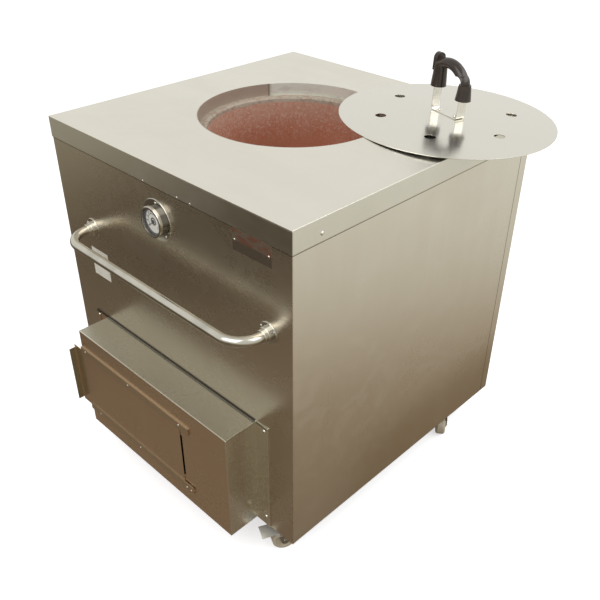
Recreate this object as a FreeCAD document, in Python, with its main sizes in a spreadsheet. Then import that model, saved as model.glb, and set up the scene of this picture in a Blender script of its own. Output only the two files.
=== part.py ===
"""Square stainless steel tandoor on casters, as separate pieces. All sizes are in millimetres.

The origin lies on the floor under the middle of the casing. +Z is up and -Y is the front, where the fire box is.
Driving dimensions are in the sheet Dims, and what follows from them is in the variable set Fits.
"""
import FreeCAD, Part
import os
import re

import Sketcher

DIMENSIONS = (
    # cover and casing
    ("cover_width", 813, "top cover across its skirt"),
    ("cover_height", 914, "floor to the cover's outer edge"),
    ("crown_rise", 12.4, "rise of the cover from its edge to the mouth"),
    ("cover_sheet", 1.5, "thickness of the cover and of the collar"),
    ("skirt_drop", 50, "height of the cover's turned-down skirt"),
    ("panel_sheet", 1.2, "thickness of the casing panels"),
    ("casing_foot", 92, "floor to the panels' lower edge"),
    ("rear_return", 30, "return flange of the rear panel along each side"),
    ("seam_gap", 0.6, "open seam between a side panel and the rear return"),
    # mouth, pot and hearth
    ("mouth_radius", 223.5, "inside of the collar"),
    ("collar_depth", 31, "height of the collar"),
    ("mortar_thickness", 12, "mortar bed between the pot's lip and the collar"),
    ("pot_mouth_radius", 204, "inside of the pot's lip"),
    ("pot_belly_radius", 262, "inside of the pot at its belly"),
    ("pot_belly_height", 540, "floor to the pot's belly"),
    ("pot_base_radius", 215, "inside of the pot at its foot"),
    ("pot_wall", 30, "thickness of the clay"),
    ("hearth_width", 650, "side of the square hearth slab"),
    ("hearth_thickness", 75, "thickness of the hearth slab"),
    ("packing_gap", 0.5, "room round the insulation"),
    # frame inside the casing
    ("frame_angle", 40, "leg of the base frame's angle section"),
    ("frame_sheet", 3, "thickness of the base frame and the corner posts"),
    ("gusset", 120, "leg of each corner gusset"),
    ("pan_sheet", 2, "thickness of the floor pan"),
    ("post_leg", 40, "leg of the corner posts' angle section"),
    # heating parts
    ("tray_radius", 165, "outside of the element tray"),
    ("tray_floor", 12, "thickness of the tray's floor"),
    ("tray_rim", 28, "height of the tray's rim"),
    ("tray_wall", 12, "thickness of the tray's rim"),
    ("element_outer", 128, "radius of the element's outer loop"),
    ("element_inner", 84, "radius of the element's inner loop"),
    ("element_radius", 4.25, "radius of the element's tube"),
    ("block_length", 80, "terminal block"),
    ("block_width", 36, "terminal block"),
    ("block_height", 28, "terminal block"),
    ("gland_left", 260, "cable gland, left of the middle"),
    ("gland_height", 152, "floor to the cable gland"),
    ("gland_bore", 5, "radius of the gland's bore"),
    ("gland_neck", 9, "radius of the gland's neck"),
    ("gland_nut", 14, "radius of the gland's nuts"),
    ("gland_length", 20, "gland outside the rear panel"),
    # duct and fire box
    ("duct_width", 200, "air duct, outside"),
    ("duct_height", 110, "air duct, outside"),
    ("duct_floor", 190, "floor to the air duct"),
    ("duct_sheet", 2, "thickness of the air duct"),
    ("box_left", 283, "fire box, left of the middle"),
    ("box_right", 290, "fire box, right of the middle"),
    ("box_floor", 100, "floor to the fire box"),
    ("box_height", 300, "height of the fire box"),
    ("box_depth", 88, "fire box in front of the panel"),
    ("box_sheet", 2, "thickness of the fire box"),
    ("flange_half", 331, "half width of the fire box flange"),
    ("flange_height", 313, "height of the fire box flange"),
    ("hem_width", 12, "hemmed strip down each side of the flange"),
    ("window_half", 130, "half width of the window in the fire box"),
    ("window_floor", 182, "floor to the window"),
    ("window_height", 128, "height of the window"),
    # shutter and its rails
    ("rail_left", 284, "left end of the rails, left of the middle"),
    ("rail_length", 444, "length of each rail"),
    ("rail_width", 21, "height of each rail"),
    ("rail_lip", 9, "part of the rail that stands in front of the shutter"),
    ("rail_sheet", 1.5, "thickness of the rails' lips"),
    ("rail_top_foot", 330, "floor to the upper rail"),
    ("rail_bottom_foot", 141, "floor to the lower rail"),
    ("shutter_left", 321, "left end of the shutter, left of the middle"),
    ("shutter_length", 446, "length of the shutter"),
    ("shutter_sheet", 1.5, "thickness of the shutter"),
    ("shutter_play", 0.3, "running gap round the shutter"),
    ("shutter_handle", 16.5, "folded handle at the shutter's left end"),
    ("rivet_radius", 3, "rivets of the rails and the nameplate"),
    ("rivet_height", 1.6, "rivets of the rails and the nameplate"),
    ("screw_radius", 4.6, "heads of the sheet-metal screws"),
    ("screw_height", 2.4, "heads of the sheet-metal screws"),
    ("screw_inset", 76.5, "cover's screws in from its corners"),
    ("screw_lift", 17.5, "cover's screws above the skirt's foot"),
    ("flange_screw_lift", 30, "flange's lower screws above the casing's foot"),
    # thermometer
    ("gauge_left", 4, "thermometer, left of the middle"),
    ("gauge_drop", 78, "skirt's foot down to the thermometer"),
    ("gauge_flange", 49, "radius of the thermometer's flange"),
    ("gauge_flange_sheet", 2, "thickness of the thermometer's flange"),
    ("gauge_case", 33.5, "radius of the thermometer's case"),
    ("gauge_case_depth", 15, "case in front of the panel"),
    ("gauge_case_wall", 1.2, "wall of the case"),
    ("gauge_bezel", 36, "radius of the bezel"),
    ("gauge_window", 30.3, "radius of the bezel's window"),
    ("gauge_bezel_depth", 7, "depth of the bezel"),
    ("gauge_front", 18, "bezel's front before the panel"),
    ("gauge_lens", 2, "thickness of the lens"),
    ("gauge_dial", 0.8, "thickness of the dial"),
    ("gauge_dial_back", 9, "dial's back before the panel"),
    ("gauge_pin", 1.5, "radius of the pointer's spindle"),
    ("gauge_pin_fit", 0.05, "running gap of the pointer's spindle"),
    ("gauge_hub", 4.5, "radius of the pointer's hub"),
    ("gauge_needle", 23, "length of the pointer"),
    ("gauge_needle_width", 1.6, "width of the pointer"),
    ("gauge_stem", 4, "radius of the stem"),
    ("gauge_stem_length", 190, "stem behind the panel"),
    # push bar
    ("bar_radius", 11, "radius of the push bar's tube"),
    ("bar_wall", 1.5, "wall of the push bar's tube"),
    ("bar_drop", 200, "skirt's foot down to the push bar"),
    ("bar_standoff", 77, "push bar's axis before the panel"),
    ("bar_left", 283, "left mount, left of the middle"),
    ("bar_right", 338, "right mount, right of the middle"),
    ("bar_bend", 57, "bend radius of the push bar"),
    ("bar_fit", 0.05, "gap between the push bar and its mounts"),
    ("mount_disc", 25, "radius of a mount's wall disc"),
    ("mount_disc_sheet", 2.5, "thickness of a mount's wall disc"),
    ("mount_collar", 17, "radius of a mount's large collar"),
    ("mount_collar_depth", 10, "depth of a mount's large collar"),
    ("mount_ring", 14.5, "radius of a mount's small collar"),
    ("mount_ring_depth", 8, "depth of a mount's small collar"),
    # bare plate
    ("plate_left", 244, "nameplate, right of the middle"),
    ("plate_length", 107, "length of the nameplate"),
    ("plate_drop", 3, "skirt's foot down to the nameplate"),
    ("plate_height", 46, "height of the nameplate"),
    ("plate_sheet", 1, "thickness of the nameplate"),
    # lid
    ("lid_radius", 254, "radius of the lid"),
    ("lid_sheet", 1.5, "thickness of the lid"),
    ("lid_rise", 8, "rise of the lid's dish"),
    ("lid_offset", 361, "lid's middle from the mouth's middle"),
    ("lid_bearing", 42.5, "direction in which the lid is drawn aside"),
    ("lid_gap", 0.3, "gap under the lid where it rests"),
    ("vent_radius", 12.8, "radius of the lid's vent holes"),
    ("vent_circle", 159, "radius of the circle of vent holes"),
    ("vent_bearing", 52, "direction of the first vent hole"),
    # lid handle
    ("handle_bearing", -13, "direction of the handle"),
    ("strap_half", 44, "half length of the strap's base"),
    ("strap_width", 25, "width of the strap"),
    ("strap_sheet", 2, "thickness of the strap"),
    ("strap_bend", 6, "outer bend radius of the strap"),
    ("strap_left_rise", 78, "height of the strap's left upright"),
    ("strap_right_rise", 68, "height of the strap's right upright"),
    ("strap_hole", 26, "screws in the strap's base from its middle"),
    ("grip_left_foot", 55, "strap's base to the grip's left socket"),
    ("grip_right_foot", 45, "strap's base to the grip's right socket"),
    ("grip_socket", 18.5, "radius of the grip's sockets at their foot"),
    ("grip_radius", 14, "radius of the grip's bar"),
    ("grip_left_height", 104, "axis of the bar at its left end"),
    ("grip_crest_height", 112, "axis of the bar over the middle"),
    ("grip_right_height", 96, "axis of the bar where it turns down"),
    ("grip_shoulder", 16, "radius of the grip's right shoulder"),
    ("lug_height", 130, "top of the left lug"),
    ("lug_thickness", 12, "thickness of the left lug"),
    ("lug_radius", 13, "radius of the left lug"),
    ("socket_play", 0.2, "gap between the strap and its sockets"),
    # casters
    ("front_axis_across", 350, "front swivel axes, from the middle"),
    ("front_axis_forward", 340, "front swivel axes, before the middle"),
    ("rear_axis_across", 352, "rear swivel axes, from the middle"),
    ("rear_axis_back", 262, "rear swivel axes, behind the middle"),
    ("front_heading", -116.5, "rest direction of the front wheels"),
    ("rear_heading", -54, "rest direction of the rear wheels"),
    ("wheel_radius", 31, "radius of the wheels"),
    ("wheel_width", 25, "width of the wheels"),
    ("caster_trail", 31.5, "wheel axle from the swivel axis"),
    ("axle_radius", 4, "radius of the wheel axles"),
    ("axle_fit", 0.05, "running gap of the wheels and of the kingpins"),
    ("caster_plate_sheet", 3, "thickness of the caster plates"),
    ("caster_plate_length", 76, "length of the caster plates"),
    ("caster_plate_width", 70, "width of the caster plates"),
    ("race_radius", 23, "radius of the swivel race"),
    ("race_height", 10, "height of the swivel race"),
    ("fork_sheet", 2.5, "thickness of the forks"),
    ("fork_clearance", 1.5, "wheel's side to the fork"),
    ("swivel_gap", 0.3, "gap between the race and the fork"),
    ("kingpin_radius", 5, "radius of the kingpins"),
    ("fork_boss", 17, "radius of the boss on the fork"),
    ("crown_radius", 24, "radius of the fork's crown"),
    ("wheel_head_room", 9, "wheel's top to the fork's crown"),
    ("pedal_pivot_along", 45, "brake pedal's pivot from the swivel axis"),
    ("pedal_pivot_height", 59, "floor to the brake pedal's pivot"),
    ("pedal_pin", 2.5, "radius of the brake pedal's pivot"),
    ("pedal_reach", 90, "brake pedal's tip from the swivel axis"),
    ("pedal_sheet", 2, "thickness of the brake pedal"),
    ("pedal_play", 0.3, "fork to the brake pedal"),
)

FITS = (
    ("cover_half", "cover_width / 2"),
    ("skirt_foot", "cover_height - skirt_drop"),
    ("screw_reach", "cover_half - screw_inset"),
    ("gauge_height", "skirt_foot - gauge_drop"),
    ("bar_height", "skirt_foot - bar_drop"),
    ("plate_foot", "skirt_foot - plate_drop - plate_height"),
    ("panel_face", "cover_half - cover_sheet"),
    ("panel_back", "panel_face - panel_sheet"),
    ("panel_top", "cover_height - cover_sheet"),
    ("rear_seam", "panel_face - rear_return"),
    ("mouth_height", "cover_height + crown_rise"),
    ("collar_outer", "mouth_radius + cover_sheet"),
    ("collar_foot", "mouth_height - collar_depth"),
    ("pot_top", "collar_foot - mortar_thickness"),
    ("frame_top", "casing_foot + frame_angle"),
    ("frame_inside", "panel_back - frame_sheet"),
    ("pan_top", "casing_foot + frame_sheet + pan_sheet"),
    ("hearth_top", "pan_top + hearth_thickness"),
    ("element_height", "hearth_top + tray_floor + element_radius + lid_gap"),
    ("element_middle", "(element_outer + element_inner) / 2"),
    ("element_cap", "(element_outer - element_inner) / 2"),
    ("duct_end", "pot_base_radius + pot_wall"),
    ("box_front", "panel_face + box_depth"),
    ("flange_top", "casing_foot + flange_height"),
    ("window_top", "window_floor + window_height"),
    ("shutter_back", "box_front + shutter_play"),
    ("shutter_face", "shutter_back + shutter_sheet"),
    ("rail_slot", "shutter_sheet + 2 * shutter_play"),
    ("shutter_foot", "rail_bottom_foot + rail_width - rail_lip + shutter_play"),
    ("shutter_top", "rail_top_foot + rail_lip - shutter_play"),
    ("pot_stem_gap", "gauge_stem + 1"),
    ("bar_axis", "panel_face + bar_standoff"),
    ("bend_line", "bar_axis - bar_bend"),
    ("mount_bore", "bar_radius + bar_fit"),
    ("corner_reach", "cover_half * sqrt(2)"),
    ("lid_cross", "(lid_offset ^ 2 + collar_outer ^ 2 - lid_radius ^ 2) / (2 * lid_offset)"),
    ("lid_corner_rise", "lid_rise * (1 - ((corner_reach - lid_offset) / lid_radius) ^ 2)"),
    ("lid_slope", "(crown_rise + lid_corner_rise) / (corner_reach - lid_cross)"),
    ("lid_height", "mouth_height + lid_gap - lid_slope * (lid_offset - lid_cross)"),
    ("lid_curve", "(lid_radius ^ 2 + lid_rise ^ 2) / (2 * lid_rise)"),
    ("lid_crown", "lid_rise + lid_sheet"),
    ("wheel_inner", "wheel_width / 2 + fork_clearance"),
    ("fork_outer", "wheel_inner + fork_sheet"),
    ("fork_crown", "2 * wheel_radius + wheel_head_room"),
    ("race_foot", "casing_foot - caster_plate_sheet - race_height"),
    ("pedal_inner", "fork_outer + pedal_play"),
    ("pedal_outer", "pedal_inner + pedal_sheet"),
    ("pedal_top", "pedal_pivot_height + pedal_pin + 2 * pedal_sheet"),
)

NAMES = {name: "Dims." + name for name, _, _ in DIMENSIONS}
NAMES.update({name: "Fits." + name for name, _ in FITS})

DOC = FreeCAD.newDocument("Tandoor")
PIECES = {}
UP = FreeCAD.Rotation()
FRONT = FreeCAD.Rotation(FreeCAD.Vector(1, 0, 0), 90)
REAR = FreeCAD.Rotation(FreeCAD.Vector(1, 0, 0), -90)
RIGHT = FreeCAD.Rotation(FreeCAD.Vector(0, 1, 0), 90)
LEFT = FreeCAD.Rotation(FreeCAD.Vector(0, 1, 0), -90)
HALF_ROOT = "sqrt(0.5)"
FAR = "cover_width"


def link(text):
    """Expression in which every named dimension points to its sheet or variable set."""
    return re.sub(r"[a-z][a-z_]*", lambda found: NAMES.get(found.group(), found.group()), str(text))


def number(text):
    """Present value of an expression of named dimensions."""
    return float(DOC.getObject("Dims").evalExpression(link(text)))


def write_dimensions():
    """Fill the sheet with the driving dimensions and the variable set with what follows from them."""
    sheet = DOC.addObject("Spreadsheet::Sheet", "Dims")
    for row, (name, size, meaning) in enumerate(DIMENSIONS, 1):
        sheet.set("A%d" % row, str(size))
        sheet.setAlias("A%d" % row, name)
        sheet.set("B%d" % row, meaning)
    DOC.recompute()
    fits = DOC.addObject("App::VarSet", "Fits")
    for name, text in FITS:
        fits.addProperty("App::PropertyFloat", name, "Fits")
        fits.setExpression(name, link(text))
        DOC.recompute()


# ---------------------------------------------------------------- building helpers


def piece(node, item):
    """Name the object as a sub-part of the assembly."""
    item.Label = node
    PIECES[node] = item
    return item


def place(item, x="0", y="0", z="0", turn=UP):
    """Put an object at a place given by three expressions."""
    item.Placement = FreeCAD.Placement(FreeCAD.Vector(), turn)
    for axis, text in zip("xyz", (x, y, z)):
        item.setExpression(".Placement.Base." + axis, link(text))
    return item


def block(name, low, high):
    """Box between two corners."""
    item = DOC.addObject("Part::Box", name)
    for side, start, end in zip(("Length", "Width", "Height"), low, high):
        item.setExpression(side, link("(%s) - (%s)" % (end, start)))
    return place(item, *low)


def rod(name, radius, length, x="0", y="0", z="0", turn=UP):
    """Cylinder that starts at a point and runs along its turned +Z."""
    item = DOC.addObject("Part::Cylinder", name)
    item.setExpression("Radius", link(radius))
    item.setExpression("Height", link(length))
    return place(item, x, y, z, turn)


def cone(name, foot, top, length, x="0", y="0", z="0", turn=UP):
    """Cone stump that starts at a point and runs along its turned +Z."""
    item = DOC.addObject("Part::Cone", name)
    item.setExpression("Radius1", link(foot))
    item.setExpression("Radius2", link(top))
    item.setExpression("Height", link(length))
    return place(item, x, y, z, turn)


def cut(name, base, tool):
    """Base less tool."""
    item = DOC.addObject("Part::Cut", name)
    item.Base = base
    item.Tool = tool
    return item


def fuse(name, shapes):
    """One solid of several."""
    item = DOC.addObject("Part::MultiFuse", name)
    item.Shapes = shapes
    return item


def group(name, shapes):
    """Several separate solids that share one node."""
    item = DOC.addObject("Part::Compound", name)
    item.Links = shapes
    return item


def new_body(name):
    """Empty PartDesign body."""
    return DOC.addObject("PartDesign::Body", name)


def sketch_on(body, role, lift="0"):
    """Sketch on one of the body's origin planes, lifted along that plane's normal."""
    sketch = body.newObject("Sketcher::SketchObject", body.Name + "_sketch")
    plane = [feature for feature in body.Origin.OriginFeatures if feature.Role == role][0]
    sketch.AttachmentSupport = [(plane, "")]
    sketch.MapMode = "FlatFace"
    sketch.setExpression(".AttachmentOffset.Base.z", link(lift))
    return sketch


def pin_point(sketch, geometry, vertex, x, y):
    """Hold one vertex of a sketch at a place given by two expressions."""
    for kind, text in (("DistanceX", x), ("DistanceY", y)):
        held = Sketcher.Constraint(kind, -1, 1, geometry, vertex, number(text))
        sketch.setExpression("Constraints[%d]" % sketch.addConstraint(held), link(text))


def arc_between(sketch, start, middle, end):
    """Arc through three points; gives its index and which of its ends is the start."""
    first, through, last = (FreeCAD.Vector(number(x), number(y), 0) for x, y in (start, middle, end))
    index = sketch.addGeometry(Part.Arc(first, through, last))
    start_vertex = 1 if sketch.getPoint(index, 1).distanceToPoint(first) < 1e-6 else 2
    helper = sketch.addGeometry(Part.Point(through), True)
    pin_point(sketch, helper, 1, *middle)
    sketch.addConstraint(Sketcher.Constraint("PointOnObject", helper, 1, index))
    return index, start_vertex


def outline(sketch, points, closed=True):
    """Lines and arcs through points: ("x", "y") is a corner, ("arc", "x", "y") bends the side it stands in."""
    corners = [place for place in points if len(place) == 2]
    sides = []
    for index, corner in enumerate(points):
        if len(corner) == 3:
            continue
        following = points[(index + 1) % len(points)]
        if not closed and corner is corners[-1]:
            break
        if len(following) == 3:
            end = points[(index + 2) % len(points)]
            sides.append(arc_between(sketch, corner, following[1:], end) + (corner, end))
        else:
            ends = [FreeCAD.Vector(number(x), number(y), 0) for x, y in (corner, following)]
            sides.append((sketch.addGeometry(Part.LineSegment(*ends)), 1, corner, following))
    for index, (geometry, start_vertex, start, end) in enumerate(sides):
        pin_point(sketch, geometry, start_vertex, *start)
        last = index == len(sides) - 1
        if last and not closed:
            pin_point(sketch, geometry, 3 - start_vertex, *end)
            continue
        after, after_vertex = sides[(index + 1) % len(sides)][:2]
        sketch.addConstraint(Sketcher.Constraint("Coincident", geometry, 3 - start_vertex, after, after_vertex))
    return sketch


def rectangle(sketch, low, high):
    """Rectangle between two corners."""
    return outline(sketch, [low, (high[0], low[1]), high, (low[0], high[1])])


def circle(sketch, x, y, radius):
    """Circle at a place given by expressions."""
    at = FreeCAD.Vector(number(x), number(y), 0)
    index = sketch.addGeometry(Part.Circle(at, FreeCAD.Vector(0, 0, 1), number(radius)))
    pin_point(sketch, index, 3, x, y)
    size = sketch.addConstraint(Sketcher.Constraint("Radius", index, number(radius)))
    sketch.setExpression("Constraints[%d]" % size, link(radius))
    return sketch


def pad(body, sketch, length, symmetric=False, backwards=False):
    """Pad of a sketch."""
    feature = body.newObject("PartDesign::Pad", body.Name + "_pad")
    feature.Profile = sketch
    feature.setExpression("Length", link(length))
    feature.SideType = "Symmetric" if symmetric else "One side"
    feature.Reversed = backwards
    return feature


def pocket(body, sketch, length, symmetric=False, along_normal=False):
    """Pocket of a sketch; it runs against the sketch's normal unless told otherwise."""
    feature = body.newObject("PartDesign::Pocket", body.Name + "_pocket")
    feature.Profile = sketch
    feature.setExpression("Length", link(length))
    feature.SideType = "Symmetric" if symmetric else "One side"
    feature.Reversed = along_normal
    return feature


def revolve(body, sketch, kind="Revolution"):
    """Full turn of a sketch about its vertical axis, added or (kind Groove) cut away."""
    feature = body.newObject("PartDesign::" + kind, body.Name + "_turn")
    feature.Profile = sketch
    feature.ReferenceAxis = (sketch, ["V_Axis"])
    feature.Angle = 360
    return feature


def turned(node, points, x="0", y="0", z="0", turn=UP):
    """Round piece turned from its half section, which is drawn as radius and height."""
    body = new_body(node)
    revolve(body, outline(sketch_on(body, "XZ_Plane"), points))
    return piece(node, place(body, x, y, z, turn))


def ring(inner, outer, foot, top):
    """Half section of a plain ring."""
    return [(inner, foot), (outer, foot), (outer, top), (inner, top)]


def screw(name, x, y, z, turn):
    """Head of a sheet-metal screw on a face that looks along the turned +Z."""
    return cone(name, "screw_radius", "screw_radius * 0.62", "screw_height", x, y, z, turn)


def rivet(name, x, y, z, turn=FRONT):
    """Rivet head."""
    return cone(name, "rivet_radius", "rivet_radius * 0.5", "rivet_height", x, y, z, turn)


# ---------------------------------------------------------------- cover and casing


def square_section(body, half, height):
    """Square section of the crowned cover."""
    return rectangle(sketch_on(body, "XY_Plane", height), ("-(%s)" % half, "-(%s)" % half), (half, half))


def round_section(body, radius, height):
    """Round section of the crowned cover, in four arcs that start at the cover's corners."""
    reach = "(%s) * %s" % (radius, HALF_ROOT)
    back = "-(%s)" % reach
    out = "-(%s)" % radius
    points = [(back, back), ("arc", "0", out), (reach, back), ("arc", radius, "0"),
              (reach, reach), ("arc", "0", radius), (back, reach), ("arc", out, "0")]
    return outline(sketch_on(body, "XY_Plane", height), points)


def crown(body, kind, half, low, radius, high):
    """Square to round loft, added or cut away."""
    feature = body.newObject("PartDesign::" + kind, body.Name + "_crown")
    feature.Profile = square_section(body, half, low)
    feature.Sections = [round_section(body, radius, high)]
    feature.Ruled = True
    return feature


def top_cover():
    """One sheet: a shallow crown from the square edge to the round mouth, and a turned-down skirt."""
    body = new_body("top_cover")
    pad(body, square_section(body, "cover_half", "skirt_foot"), "skirt_drop")
    crown(body, "AdditiveLoft", "cover_half", "cover_height", "collar_outer", "mouth_height")
    pocket(body, square_section(body, "panel_face", "skirt_foot"), "skirt_drop - cover_sheet", along_normal=True)
    crown(body, "SubtractiveLoft", "panel_face", "panel_top", "collar_outer", "mouth_height - cover_sheet")
    mouth = circle(sketch_on(body, "XY_Plane", "cover_height"), "0", "0", "collar_outer")
    pocket(body, mouth, "4 * crown_rise", symmetric=True)
    piece("top_cover", body)


def front_panel():
    """Front sheet with the duct's port and the hole for the thermometer's stem."""
    body = new_body("front_panel")
    sheet = sketch_on(body, "XZ_Plane", "panel_back")
    rectangle(sheet, ("-panel_face", "casing_foot"), ("panel_face", "panel_top"))
    rectangle(sheet, ("-duct_width / 2", "duct_floor"), ("duct_width / 2", "duct_floor + duct_height"))
    circle(sheet, "-gauge_left", "gauge_height", "gauge_stem + seam_gap")
    pad(body, sheet, "panel_sheet")
    piece("front_panel", body)


def side_panel(node, side):
    """Side sheet from the front panel to the open seam before the rear panel's return."""
    low, high = sorted(("%d * panel_back" % side, "%d * panel_face" % side), key=number)
    piece(node, block(node, (low, "-panel_back", "casing_foot"), (high, "rear_seam - seam_gap", "panel_top")))


def rear_panel():
    """Rear sheet with a return flange along each side and the hole for the cable gland."""
    body = new_body("rear_panel")
    section = [("-panel_face", "rear_seam"), ("-panel_back", "rear_seam"), ("-panel_back", "panel_back"),
               ("panel_back", "panel_back"), ("panel_back", "rear_seam"), ("panel_face", "rear_seam"),
               ("panel_face", "panel_face"), ("-panel_face", "panel_face")]
    pad(body, outline(sketch_on(body, "XY_Plane", "casing_foot"), section), "panel_top - casing_foot")
    hole = circle(sketch_on(body, "XZ_Plane"), "-gland_left", "gland_height", "gland_neck + bar_fit")
    pocket(body, hole, FAR)
    piece("rear_panel", body)


def base_frame():
    """Angle-iron ring under the casing with a triangular gusset in each corner for the casters."""
    body = new_body("base_frame")
    pad(body, square_section(body, "panel_back", "casing_foot"), "frame_angle")
    pocket(body, square_section(body, "frame_inside", "casing_foot + frame_sheet"), "frame_angle", along_normal=True)
    far = "panel_back - frame_angle"
    near = "panel_back - frame_angle - gusset"
    corners = [(far, near), (near, far), ("-(%s)" % near, far), ("-(%s)" % far, near),
               ("-(%s)" % far, "-(%s)" % near), ("-(%s)" % near, "-(%s)" % far),
               (near, "-(%s)" % far), (far, "-(%s)" % near)]
    window = outline(sketch_on(body, "XY_Plane", "casing_foot"), corners)
    pocket(body, window, "4 * frame_sheet", symmetric=True)
    piece("base_frame", body)


def corner_post(node, across, along):
    """Angle post inside one corner of the casing, on the base frame's upright leg."""
    body = new_body(node)
    wall = "(panel_back - frame_sheet)"
    end = "(panel_back - post_leg)"
    section = [("panel_back", "panel_back"), (end, "panel_back"), (end, wall), (wall, wall),
               (wall, end), ("panel_back", end)]
    signed = [("%d * %s" % (across, x), "%d * %s" % (along, y)) for x, y in section]
    pad(body, outline(sketch_on(body, "XY_Plane", "frame_top"), signed), "panel_top - frame_top")
    piece(node, body)


def casing_screws():
    """Screws through the cover's skirt at the sides and the rear, and through the fire box flange."""
    height = "skirt_foot + screw_lift"
    places = ("-screw_reach", "screw_reach")
    heads = []
    for name, side, turn in (("right", 1, RIGHT), ("left", -1, LEFT)):
        for index, along in enumerate(places):
            where = "%d * cover_half" % side
            heads.append(screw("cover_screw_%s_%d" % (name, index), where, along, height, turn))
    for index, across in enumerate(places):
        heads.append(screw("cover_screw_rear_%d" % index, across, "cover_half", height, REAR))
    front = "-panel_face - box_sheet - seam_gap * 2"
    flange_low = "casing_foot + flange_screw_lift"
    for side in (-1, 1):
        across = "%d * (flange_half - hem_width + 1)" % side
        heads.append(screw("flange_screw_top_%d" % (side + 1), across, front, "flange_top - hem_width", FRONT))
        heads.append(screw("flange_screw_foot_%d" % (side + 1), across, front, flange_low, FRONT))
    piece("casing_screws", group("casing_screws", heads))


# ---------------------------------------------------------------- mouth, pot and hearth


def mouth_and_pot():
    """Collar, mortar bed and bellied clay pot, one on the other."""
    turned("mouth_collar", ring("mouth_radius", "collar_outer", "collar_foot", "mouth_height"))
    lip = "pot_mouth_radius + pot_wall"
    turned("mortar_ring", [("pot_mouth_radius", "pot_top"), (lip, "pot_top"), (lip, "collar_foot"),
                           ("pot_mouth_radius + 5", "collar_foot"), ("pot_mouth_radius", "collar_foot - 4")])
    body = new_body("clay_pot")
    section = [("pot_mouth_radius", "pot_top"), (lip, "pot_top"),
               ("arc", "pot_belly_radius + pot_wall", "pot_belly_height"),
               ("pot_base_radius + pot_wall", "hearth_top"), ("pot_base_radius", "hearth_top"),
               ("arc", "pot_belly_radius", "pot_belly_height")]
    revolve(body, outline(sketch_on(body, "XZ_Plane"), section))
    ports(body)
    piece("clay_pot", body)


def ports(body):
    """Openings in the front wall for the air duct and the thermometer's stem."""
    port = sketch_on(body, "XZ_Plane")
    gap = "packing_gap"
    rectangle(port, ("-duct_width / 2 - " + gap, "duct_floor - " + gap),
              ("duct_width / 2 + " + gap, "duct_floor + duct_height + " + gap))
    pocket(body, port, FAR, along_normal=True)
    stem = circle(sketch_on(body, "XZ_Plane"), "-gauge_left", "gauge_height", "pot_stem_gap")
    pocket(body, stem, FAR, along_normal=True)


def insulation():
    """Packed wool between the pot and the casing, with its corners cut back for the posts."""
    body = new_body("insulation")
    near = "(panel_back - post_leg - 5)"
    far = "(panel_back - packing_gap)"
    corners = [(far, near), (near, far), ("-" + near, far), ("-" + far, near),
               ("-" + far, "-" + near), ("-" + near, "-" + far), (near, "-" + far), (far, "-" + near)]
    pad(body, outline(sketch_on(body, "XY_Plane", "hearth_top"), corners), "pot_top - hearth_top")
    wall = "pot_wall + packing_gap"
    hollow = [("0", "hearth_top - pot_wall"), ("pot_base_radius + " + wall, "hearth_top - pot_wall"),
              ("pot_base_radius + " + wall, "hearth_top"), ("arc", "pot_belly_radius + " + wall, "pot_belly_height"),
              ("pot_mouth_radius + " + wall, "pot_top"), ("pot_mouth_radius + " + wall, "pot_top + pot_wall"),
              ("0", "pot_top + pot_wall")]
    revolve(body, outline(sketch_on(body, "XZ_Plane"), hollow), "Groove")
    ports(body)
    piece("insulation", body)


def hearth():
    """Floor pan, refractory slab, and the ceramic tray with the looped heating element."""
    half = "frame_inside"
    piece("floor_pan", block("floor_pan", ("-" + half, "-" + half, "casing_foot + frame_sheet"),
                             (half, half, "pan_top")))
    slab = "hearth_width / 2"
    piece("hearth_slab", block("hearth_slab", ("-" + slab, "-" + slab, "pan_top"), (slab, slab, "hearth_top")))
    turned("element_tray", [("0", "0"), ("tray_radius", "0"), ("tray_radius", "tray_rim"),
                            ("tray_radius - tray_wall", "tray_rim"), ("tray_radius - tray_wall", "tray_floor"),
                            ("0", "tray_floor")], z="hearth_top")
    body = new_body("heating_element")
    path = outline(sketch_on(body, "XY_Plane", "element_height"), element_path())
    section = circle(sketch_on(body, "YZ_Plane"), "-element_outer", "element_height", "element_radius")
    sweep(body, section, path)
    piece("heating_element", body)


def on_circle(radius, bearing, middle=("0", "0")):
    """Point on a circle about a middle point."""
    return ("%s + (%s) * cos((%s) * 1deg)" % (middle[0], radius, bearing),
            "%s + (%s) * sin((%s) * 1deg)" % (middle[1], radius, bearing))


def element_path():
    """Closed hairpin bent into a ring: two wide arcs joined by two round ends."""
    start, end = 60, 120
    caps = [on_circle("element_middle", bearing) for bearing in (start, end)]
    return [on_circle("element_outer", -90), ("arc",) + on_circle("element_outer", -15),
            on_circle("element_outer", start), ("arc",) + on_circle("element_cap", start + 90, caps[0]),
            on_circle("element_inner", start), ("arc",) + on_circle("element_inner", -90),
            on_circle("element_inner", end), ("arc",) + on_circle("element_cap", end - 90, caps[1]),
            on_circle("element_outer", end), ("arc",) + on_circle("element_outer", 195)]


def sweep(body, section, path):
    """Pipe of a section along a sketched path."""
    feature = body.newObject("PartDesign::AdditivePipe", body.Name + "_pipe")
    feature.Profile = section
    feature.Spine = path
    return feature


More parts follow.
